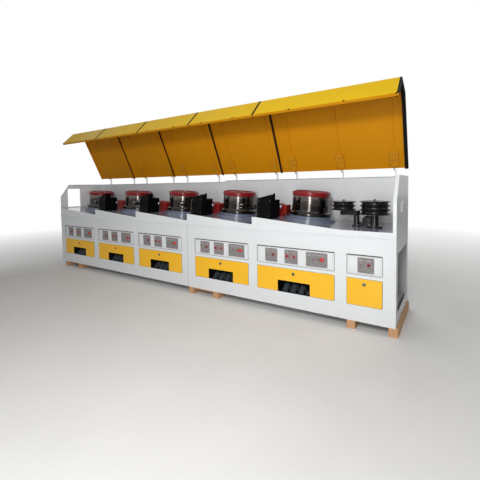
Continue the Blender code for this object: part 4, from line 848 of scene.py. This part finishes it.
def make_lids():
    """What each lid carries: rubber along its ends, bumpers on its free edge, hinge plates and bolts."""
    sizes = bpy.context.scene.wire_machine_sizes
    inner, line = lid_line(LID_SHEET), lid_line()
    way = (inner[1] - inner[0]) / np.linalg.norm(inner[1] - inner[0])
    inward = np.array([-way[1], way[0]])
    strip_way = (line[3] - line[2]) / LID_LENGTHS[2]
    strip_out = np.array([strip_way[1], -strip_way[0]])
    edge = line[3] - strip_way * 0.004 - strip_out * 0.002
    head = hexagon_bolt(sizes.bolt * 0.7, 0.004)
    for number, shares in enumerate(HINGES):
        body = f"lid_{number + 1}"
        left, right = lid_span(number)
        wide_out, wide_in = END_SEAL if number == len(HINGES) - 1 else (1.0, 1.0)
        bands = lid_edging(right - 0.0005, -1, sizes.seal * wide_out, sizes.seal * wide_in)
        if number:
            bands += lid_edging(left + 0.0005, 1, sizes.seal, sizes.seal)
        end = on_lid(right + SKIN, softened(lid_line(LID_FLANGE / 2), 0.004, 3))
        bands.append(swept(rectangle(0.0012, LID_FLANGE), end, RIGHT))
        piece(f"lid_seals_{number + 1}", bands, "rubber", body)
        shadow_lines, plates, spots = zip(*(hinge_plate(share * LENGTH, inner[0], way, inward) for share in shares))
        bolts = [placed(head, spot) for group in spots for spot in group]
        # A thin dark line of painted shadow round each hinge plate.
        piece(f"hinge_painted_shadows_{number + 1}", shadow_lines, "lid_shadow", body)
        piece(f"hinge_plates_{number + 1}", plates, "lid_inside", body)
        piece(f"hinge_bolts_{number + 1}", bolts, "dark_steel", body)
        spots = [(left + (right - left) * share, *edge) for share in BUMPERS[number]]
        bumpers = [stuck(turned(BUMPER, 24, 0.003), spot, (0.0, *strip_out)) for spot in spots]
        piece(f"lid_bumpers_{number + 1}", bumpers, "rubber", body, SMALL_DEG)


def switch_shape(kind):
    """One switch on its back, as finish and shape: the head, and the bezel round it."""
    profile, finish, (radius, rise, ring_finish) = SWITCHES[kind]
    head = placed(turned(profile, 32, 0.002), (0.0, 0.0, 0.001))
    ring = [(0.0, rise), (radius - 0.002, rise), (radius, 0.0), (0.0, 0.0)]
    return [(finish, head), (ring_finish, turned(ring, 32, 0.002))]


def make_controls():
    """The speckled plates with their switches, gauges and buttons in the front openings, the small
    blank label strips over them, and the upright folds at the ends of each opening."""
    by_finish = {key: [] for key in SWITCH_FINISHES}
    plates, labels, folds, screws, trims = [], [], [], [], []
    level, tall = (CONTROL_BOTTOM + CONTROL_TOP) / 2, CONTROL_TOP - CONTROL_BOTTOM
    height, plate_middle = PLATE_BOTTOM + PLATE_TALL * SWITCH_LEVEL, PLATE_BOTTOM + PLATE_TALL / 2
    for number, (low, high) in enumerate(OPENING_EDGES):
        wide, middle = high - low, (low + high) / 2
        # Painted shade at each opening: a thin dark frame along its return edge, a wider painted shadow under
        # its top, and a dark line down the right edge of the opening and of the door below it.
        trim = thin_frame(wide, tall, DOOR_CORNER, 0.003, -0.0035, 0.0006)
        trims.append(stuck(trim, (middle, SHEET_FACE, level), FRONT))
        shadow = slab(wide - 0.006, 0.012, 0.003, 0.002)
        trims.append(stuck(shadow, (middle, SHEET_FACE + 0.0035, CONTROL_TOP - 0.006), FRONT))
        for bottom, top in ((CONTROL_BOTTOM, CONTROL_TOP), (DOOR_BOTTOM, DOOR_TOP)):
            strip = slab(0.005, top - bottom - 2 * DOOR_CORNER, 0.0008, 0.001, 0.0003)
            trims.append(stuck(strip, (high - 0.001, SHEET_FACE + 0.0001, (bottom + top) / 2), FRONT))
        rows = list(zip(PLATE_CENTRES, PLATE_WIDTHS, SWITCH_PLACES, SWITCH_KINDS))
        if number == len(OPENING_EDGES) - 1:
            rows = [(END_PLATE_CENTRE, *rows[0][1:])]
        for centre_share, plate_wide, places, kinds in rows:
            middle = low + wide * centre_share
            plate = slab(plate_wide + 0.001, PLATE_TALL + 0.001, 0.0014, 0.005, 0.0006)
            plates.append(stuck(plate, (middle, PLATE_FACE + SKIN, plate_middle), FRONT))
            for place, kind in zip(places, kinds):
                x = middle - plate_wide / 2 + plate_wide * place
                for finish, shape in switch_shape(kind):
                    by_finish[finish].append(stuck(shape, (x, PLATE_FACE - 0.001, height), FRONT))
                if kind == "selector":
                    lever = slab(0.006, 0.022, 0.010, 0.002)
                    by_finish["black"].append(stuck(lever, (x, PLATE_FACE - 0.008, height), FRONT, 0.6))
                label = slab(0.034, 0.009, 0.0008, 0.001, 0.0004)
                labels.append(stuck(label, (x, PLATE_FACE - 0.0012, height + LABEL_RISE), FRONT))
            for across in (-0.5, 0.5):
                for up in (-0.5, 0.5):
                    x = middle + across * (plate_wide - SCREW_INSET)
                    z = plate_middle + up * (PLATE_TALL - SCREW_INSET)
                    screws.append(stuck(hexagon_bolt(0.006, 0.002), (x, PLATE_FACE - 0.0011, z), FRONT))
        for x in (low + FOLD_INSET, high - FOLD_INSET):
            folds.append(stuck(slab(0.004, tall + 0.006, 0.005, 0.001), (x, 0.0082, level), FRONT))
    piece("switch_plates", plates, "label")
    piece("label_strips", labels, "strip")
    piece("opening_trims", trims, "trim")
    piece("opening_folds", folds, "white")
    piece("plate_screws", screws, "zinc")
    for finish, shapes in by_finish.items():
        piece(f"switches_{finish}", shapes, finish, smooth_deg=SMALL_DEG)


def make_doors():
    """The doors' round cam locks, each with a dark ring and face and a bright key slot, and a black rubber
    frame in the gap round each door, which is painted shade."""
    rings, faces, slots, shadow_lines = [], [], [], []
    for low, high in OPENING_EDGES:
        middle = (low + high) / 2
        lock = facing((middle, SHEET_FACE, LOCK_HEIGHT), FRONT)
        rings.append(placed(turned(LOCK_RING, 40, 0.001, 3), lock))
        faces.append(placed(turned(LOCK_FACE, 32, 0.001, 3), lock))
        slots.append(stuck(slab(0.006, 0.016, 0.0012, 0.001, 0.0003), (0.0, 0.0, 0.0070), seat=lock))
        # The black frame in each door's gap is painted shade.
        wide, tall, line = high - low - 0.0004, DOOR_TOP - DOOR_BOTTOM - 0.0004, DOOR_GAP - 0.0004
        shadow_line = thin_frame(wide, tall, DOOR_CORNER, line, -0.006, -0.0004)
        shadow_lines.append(stuck(shadow_line, (middle, SHEET_FACE, (DOOR_BOTTOM + DOOR_TOP) / 2), FRONT))
    piece("lock_rings", rings, "dark_steel", smooth_deg=SMALL_DEG)
    piece("lock_faces", faces, "black", smooth_deg=SMALL_DEG)
    piece("lock_slots", slots, "chrome")
    piece("door_gap_painted_shade", shadow_lines, "rubber")


def make_pedals():
    """The black inside of each pedal bay, the ribs on the pedal hoods, the light rods between them
    and the low block at their right."""
    liners, ribs, rods, blocks = [], [], [], []
    outline = softened(rectangle(NOTCH_WIDTH, NOTCH_TOP - DOOR_BOTTOM), 0.003, 3, True)
    levels = [(-0.1958, 0.0), (-0.002, 0.0), (-0.002, -0.0042), (0.0006, -0.0042)]
    levels += [(0.0006, 0.0012), (-0.1946, 0.0012)]
    rib, rod = softened(rectangle(0.004, 0.004), 0.0015, 3, True), turned(PEDAL_ROD, 16, 0.002, 3)
    for low, high in OPENING_EDGES[:5]:
        middle = (low + high) / 2
        left = middle - NOTCH_WIDTH / 2
        liners.append(stuck(stacked(outline, levels), (middle, 0.0, (DOOR_BOTTOM + NOTCH_TOP) / 2), FRONT))
        for share in PEDAL_CENTRES:
            x = left + share * NOTCH_WIDTH
            for t in (0.25, 0.5, 0.75):
                y, z = HOOD_LOW + (HOOD_HIGH - HOOD_LOW) * t + (0.0, DOOR_BOTTOM)
                ribs.append(swept(rib, [(x - RIB_HALF, y, z), (x, y, z), (x + RIB_HALF, y, z)], BACK))
        for share in ROD_CENTRES:
            rods.append(placed(rod, (left + share * NOTCH_WIDTH, 0.055, DOOR_BOTTOM)))
        block = slab(0.05, 0.07, 0.035, 0.006, 0.003)
        blocks.append(placed(block, (left + BLOCK_CENTRE * NOTCH_WIDTH, 0.08, DOOR_BOTTOM)))
    piece("pedal_bay_liners", liners, "liner")
    piece("pedal_ribs", ribs, "pedal")
    piece("pedal_rods", rods, "dark_steel")
    piece("pedal_blocks", blocks, "pedal")


def make_cabinet_fittings():
    """The sheet metal's seams and screws: the line at the joint of the two frames, the cover panels of
    the back, one to a bay as in front, and the screws round them and round the end panels."""
    tall = LEDGE_HEIGHT - 0.03
    seam = slab(0.003, tall, 0.0006, 0.001, 0.0003)
    strips = [stuck(seam, (SEAM, SHEET_FACE + 0.0001, tall / 2), FRONT)]
    screws = []
    bays = [0.0, *STEP_PLACES, SLOPE_END, LENGTH]
    for low, high in zip(bays[:-1], bays[1:]):
        left, right = low + COVER_INSET, high - COVER_INSET
        for bottom, top in COVER_LEVELS:
            panel = thin_frame(right - left, top - bottom, DOOR_CORNER, 0.003, -0.001, 0.0008)
            strips.append(stuck(panel, ((left + right) / 2, DEPTH + 0.0002, (bottom + top) / 2), BACK))
            count = 4 if right - left > 0.6 else 3
            for x in np.linspace(left + COVER_SCREW, right - COVER_SCREW, count):
                for z in (bottom + COVER_SCREW, top - COVER_SCREW):
                    screws.append(stuck(hexagon_bolt(0.010, 0.004), (x, DEPTH, z), BACK))
    for end, way in ((0.0002, LEFT), (LENGTH - 0.0002, RIGHT)):
        for z in END_SCREW_LEVELS:
            for y in (END_SCREW_INSET, DEPTH - END_SCREW_INSET):
                screws.append(stuck(hexagon_bolt(0.010, 0.003), (end, y, z), way))
    piece("sheet_seams", strips, "rubber")
    piece("sheet_screws", screws, "zinc")


def make_timbers():
    """Nail heads in the board that holds the pair of bearers together."""
    left, right = PAIR_ENDS
    places = [(x, y, -SKIN) for x in (left + NAIL_INSET, right - NAIL_INSET) for y in NAIL_ROWS]
    piece("board_nails", [placed(turned(NAIL, 12), place) for place in places], "dark_steel")


# ---- stage --------------------------------------------------------------------------------------

# The photograph's camera, from a fit: its place, yaw, pitch and roll, its lens in millimetres and its shift.
CAMERA_PLACE = (3.7058, -4.2195, 1.6279)
YAW, PITCH, ROLL = 0.57841577, -0.0485142, -0.01445019
LENS_MM, SHIFT = 24.455, (-0.0013, -0.0805)

# Each lamp's place, target, size and watts.
LAMPS = {
    "top_softbox": ((1.6, -2.0, 6.2), (1.0, 0.3, 1.0), (5.0, 3.0), 44.0),
    "high_softbox": ((3.02, -4.74, 3.29), (0.7, 0.2, 1.2), (1.73, 0.65), 101.0),
    "back_softbox": ((-1.0, 8.0, 4.6), (0.0, 0.5, 1.3), (7.0, 2.5), 330.0),
    "upright_softbox": ((3.4, -5.4, 2.0), (0.8, 0.2, 1.1), (0.8, 3.2), 108.0),
}
FLOOR_HALF = 40.0
# The distances from the machine's middle between which the floor turns to white.
FLOOR_WHITE = (3.8, 10.0)


def make_lamps():
    """Soft rectangular lamps, each aimed at a point."""
    for name, (place, target, (wide, tall), watts) in LAMPS.items():
        data = bpy.data.lights.new(name, "AREA")
        data.shape, data.size, data.size_y, data.energy = "RECTANGLE", wide, tall, watts
        lamp = bpy.data.objects.new(name, data)
        bpy.context.scene.collection.objects.link(lamp)
        lamp.location = place
        lamp.rotation_euler = (Vector(target) - Vector(place)).to_track_quat("-Z", "Y").to_euler()


def make_camera():
    """The camera at the photograph's place. It looks along (-sin yaw cos pitch, cos yaw cos pitch,
    sin pitch) and is then rolled."""
    ahead = Vector((-math.sin(YAW) * math.cos(PITCH), math.cos(YAW) * math.cos(PITCH), math.sin(PITCH)))
    across = Vector((math.cos(YAW), math.sin(YAW), 0.0))
    up = across.cross(ahead)
    right = across * math.cos(ROLL) + up * math.sin(ROLL)
    above = up * math.cos(ROLL) - across * math.sin(ROLL)
    data = bpy.data.cameras.new("photo_view")
    data.lens = LENS_MM
    data.shift_x, data.shift_y = SHIFT
    camera = bpy.data.objects.new("photo_view", data)
    bpy.context.scene.collection.objects.link(camera)
    turn = Matrix((right, above, -ahead)).transposed().to_4x4()
    camera.matrix_world = Matrix.Translation(CAMERA_PLACE) @ turn
    bpy.context.scene.camera = camera


def make_world():
    """White where the camera, gloss or glass looks past the machine, and a soft grey light elsewhere."""
    world = bpy.data.worlds.new("studio")
    world.use_nodes = True
    bpy.context.scene.world = world
    tree = world.node_tree
    seen = node(tree, "LightPath", output="Is Camera Ray")
    for ray in ("Is Glossy Ray", "Is Transmission Ray"):
        seen = node(tree, "Math", {0: seen, 1: node(tree, "LightPath", output=ray)}, operation="MAXIMUM")
    ambient = bpy.context.scene.wire_machine_sizes.ambient
    background = tree.nodes["Background"].inputs
    background["Color"].default_value = (1.0, 1.0, 1.0, 1.0)
    tree.links.new(node(tree, "MapRange", {0: seen, 3: ambient, 4: 1.0}), background["Strength"])


def make_floor(cloud_mm=667.0):
    """A pale cast floor, faintly clouded, that keeps the machine's shadow and turns to plain white far
    away from it."""
    mesh = bpy.data.meshes.new("studio_floor")
    corners = rectangle(2 * FLOOR_HALF, 2 * FLOOR_HALF)
    mesh.from_pydata([(x, y, 0.0) for x, y in corners], [], [(0, 1, 2, 3)])
    floor = bpy.data.objects.new("studio_floor", mesh)
    bpy.context.scene.collection.objects.link(floor)
    made, tree = blank("pale_floor", Roughness=0.7)
    place = node(tree, "TexCoord", output="Object")
    clouds = node(tree, "TexNoise", {"Vector": place, "Scale": 1000 / cloud_mm, "Detail": 5.0})
    tint = node(tree, "Mix", {0: clouds, 6: shade("#DEDEDC"), 7: shade("#E9E9E7")}, **MIX)
    lead(tree, Base_Color=tint)
    away = node(tree, "VectorMath", {0: place}, "Value", operation="LENGTH")
    far = node(tree, "MapRange", {0: away, 1: FLOOR_WHITE[0], 2: FLOOR_WHITE[1]})
    seen = node(tree, "LightPath", output="Is Camera Ray")
    share = node(tree, "Math", {0: far, 1: seen}, operation="MULTIPLY")
    own = tree.nodes["Principled BSDF"].outputs[0]
    mixed = node(tree, "MixShader", {0: share, 1: own, 2: node(tree, "Emission")})
    tree.links.new(mixed, tree.nodes["Material Output"].inputs["Surface"])
    mesh.materials.append(made)


def make_stage():
    """Floor, world, lamps and camera."""
    bpy.context.scene.view_settings.view_transform = "Standard"
    make_floor()
    make_world()
    make_lamps()
    make_camera()


# ---- add-on -------------------------------------------------------------------------------------


def length(name, description, default):
    """A length that a user may change."""
    return FloatProperty(name=name, description=description, default=default, unit="LENGTH")


def paint(name, description, code):
    """A paint colour that a user may change, from its sRGB hex code."""
    return FloatVectorProperty(
        name=name, description=description, subtype="COLOR", size=4, default=shade(code)
    )


class WireMachineSizes(bpy.types.PropertyGroup):
    """Sizes of the small pieces, which a user may change before they are made."""

    bolt: length("Bolt", "Width of a bolt head across its flats", 0.016)
    seal: length("Seal", "Width of the rubber seals on the lids", 0.012)
    edge: length("Edge", "Width of the rounding on sheet edges", 0.0012)
    ambient: FloatProperty(name="Ambient", description="Strength of the all-round light", default=0.165)


class WireMachineColours(bpy.types.PropertyGroup):
    """Paint colours, which a user may change before the finishes are made."""

    cabinet: paint("Cabinet", "Powder coat of the cabinet", "#E0E3E5")
    doors: paint("Doors", "Powder coat of the doors", "#F8BC1C")
    lids: paint("Lids", "Enamel of the lids outside", "#E4BA08")
    # The deeper yellow of the lids' insides is painted shade of their lemon enamel.
    lid_insides: paint("Lid insides", "Enamel of the lids inside", "#D08B0B")
    deck: paint("Deck", "Enamel of the deck plates", "#8D93A5")
    collars: paint("Collars", "Enamel of the drum caps", "#7E1115")


class WIREMACHINE_OT_finishes(bpy.types.Operator):
    """Make the finishes and put them on the frame's own nodes"""

    bl_idname = "wire_machine.finishes"
    bl_label = "Finishes and sheet metal"

    def execute(self, context):
        make_finishes()
        dress_frame_nodes()
        return {"FINISHED"}


class WIREMACHINE_OT_drums(bpy.types.Operator):
    """Make the drums, their caps and their housings' skirts"""

    bl_idname = "wire_machine.drums"
    bl_label = "Drums and caps"

    def execute(self, context):
        make_drums()
        return {"FINISHED"}


class WIREMACHINE_OT_pulleys(bpy.types.Operator):
    """Make the outlet pulleys and their stands"""

    bl_idname = "wire_machine.pulleys"
    bl_label = "Outlet pulleys"

    def execute(self, context):
        make_pulleys()
        return {"FINISHED"}


class WIREMACHINE_OT_die_boxes(bpy.types.Operator):
    """Make the fittings of the die boxes and guide boxes"""

    bl_idname = "wire_machine.die_boxes"
    bl_label = "Die box fittings"

    def execute(self, context):
        make_die_boxes()
        return {"FINISHED"}


class WIREMACHINE_OT_lids(bpy.types.Operator):
    """Make the seals, bumpers and hinge plates of the lids"""

    bl_idname = "wire_machine.lids"
    bl_label = "Lid fittings"

    def execute(self, context):
        make_lids()
        return {"FINISHED"}


class WIREMACHINE_OT_controls(bpy.types.Operator):
    """Make the switch plates and what is mounted on them"""

    bl_idname = "wire_machine.controls"
    bl_label = "Controls"

    def execute(self, context):
        make_controls()
        return {"FINISHED"}


class WIREMACHINE_OT_front(bpy.types.Operator):
    """Make the door locks and the pedals' fittings"""

    bl_idname = "wire_machine.front"
    bl_label = "Door locks and pedals"

    def execute(self, context):
        make_doors()
        make_pedals()
        return {"FINISHED"}


class WIREMACHINE_OT_cabinet(bpy.types.Operator):
    """Make the cabinet's seams and screws and the nails in the timbers"""

    bl_idname = "wire_machine.cabinet"
    bl_label = "Cabinet fittings"

    def execute(self, context):
        make_cabinet_fittings()
        make_timbers()
        return {"FINISHED"}


class WIREMACHINE_OT_stage(bpy.types.Operator):
    """Make the floor, the light and the camera"""

    bl_idname = "wire_machine.stage"
    bl_label = "Studio stage"

    def execute(self, context):
        make_stage()
        return {"FINISHED"}


OPERATORS = (
    WIREMACHINE_OT_finishes,
    WIREMACHINE_OT_drums,
    WIREMACHINE_OT_pulleys,
    WIREMACHINE_OT_die_boxes,
    WIREMACHINE_OT_lids,
    WIREMACHINE_OT_controls,
    WIREMACHINE_OT_front,
    WIREMACHINE_OT_cabinet,
    WIREMACHINE_OT_stage,
)


class WIREMACHINE_PT_panel(bpy.types.Panel):
    """The machine's sizes, colours and operators"""

    bl_idname = "WIREMACHINE_PT_panel"
    bl_label = "Wire Drawing Machine"
    bl_space_type = "VIEW_3D"
    bl_region_type = "UI"
    bl_category = "Wire Machine"

    def draw(self, context):
        for group in (context.scene.wire_machine_sizes, context.scene.wire_machine_colours):
            for name in group.bl_rna.properties.keys():
                if name not in ("rna_type", "name"):
                    self.layout.prop(group, name)
        for operator in OPERATORS:
            self.layout.operator(operator.bl_idname)


CLASSES = (WireMachineSizes, WireMachineColours, *OPERATORS, WIREMACHINE_PT_panel)


def register():
    """Register the classes and hang the property groups on the scene."""
    for item in CLASSES:
        bpy.utils.register_class(item)
    bpy.types.Scene.wire_machine_sizes = PointerProperty(type=WireMachineSizes)
    bpy.types.Scene.wire_machine_colours = PointerProperty(type=WireMachineColours)


def unregister():
    """Take the property groups and classes away again."""
    del bpy.types.Scene.wire_machine_sizes
    del bpy.types.Scene.wire_machine_colours
    for item in reversed(CLASSES):
        bpy.utils.unregister_class(item)


def main():
    register()
    for operator in OPERATORS:
        group, name = operator.bl_idname.split(".")
        getattr(getattr(bpy.ops, group), name)()
    bpy.context.view_layer.update()


if __name__ == "__main__":
    main()
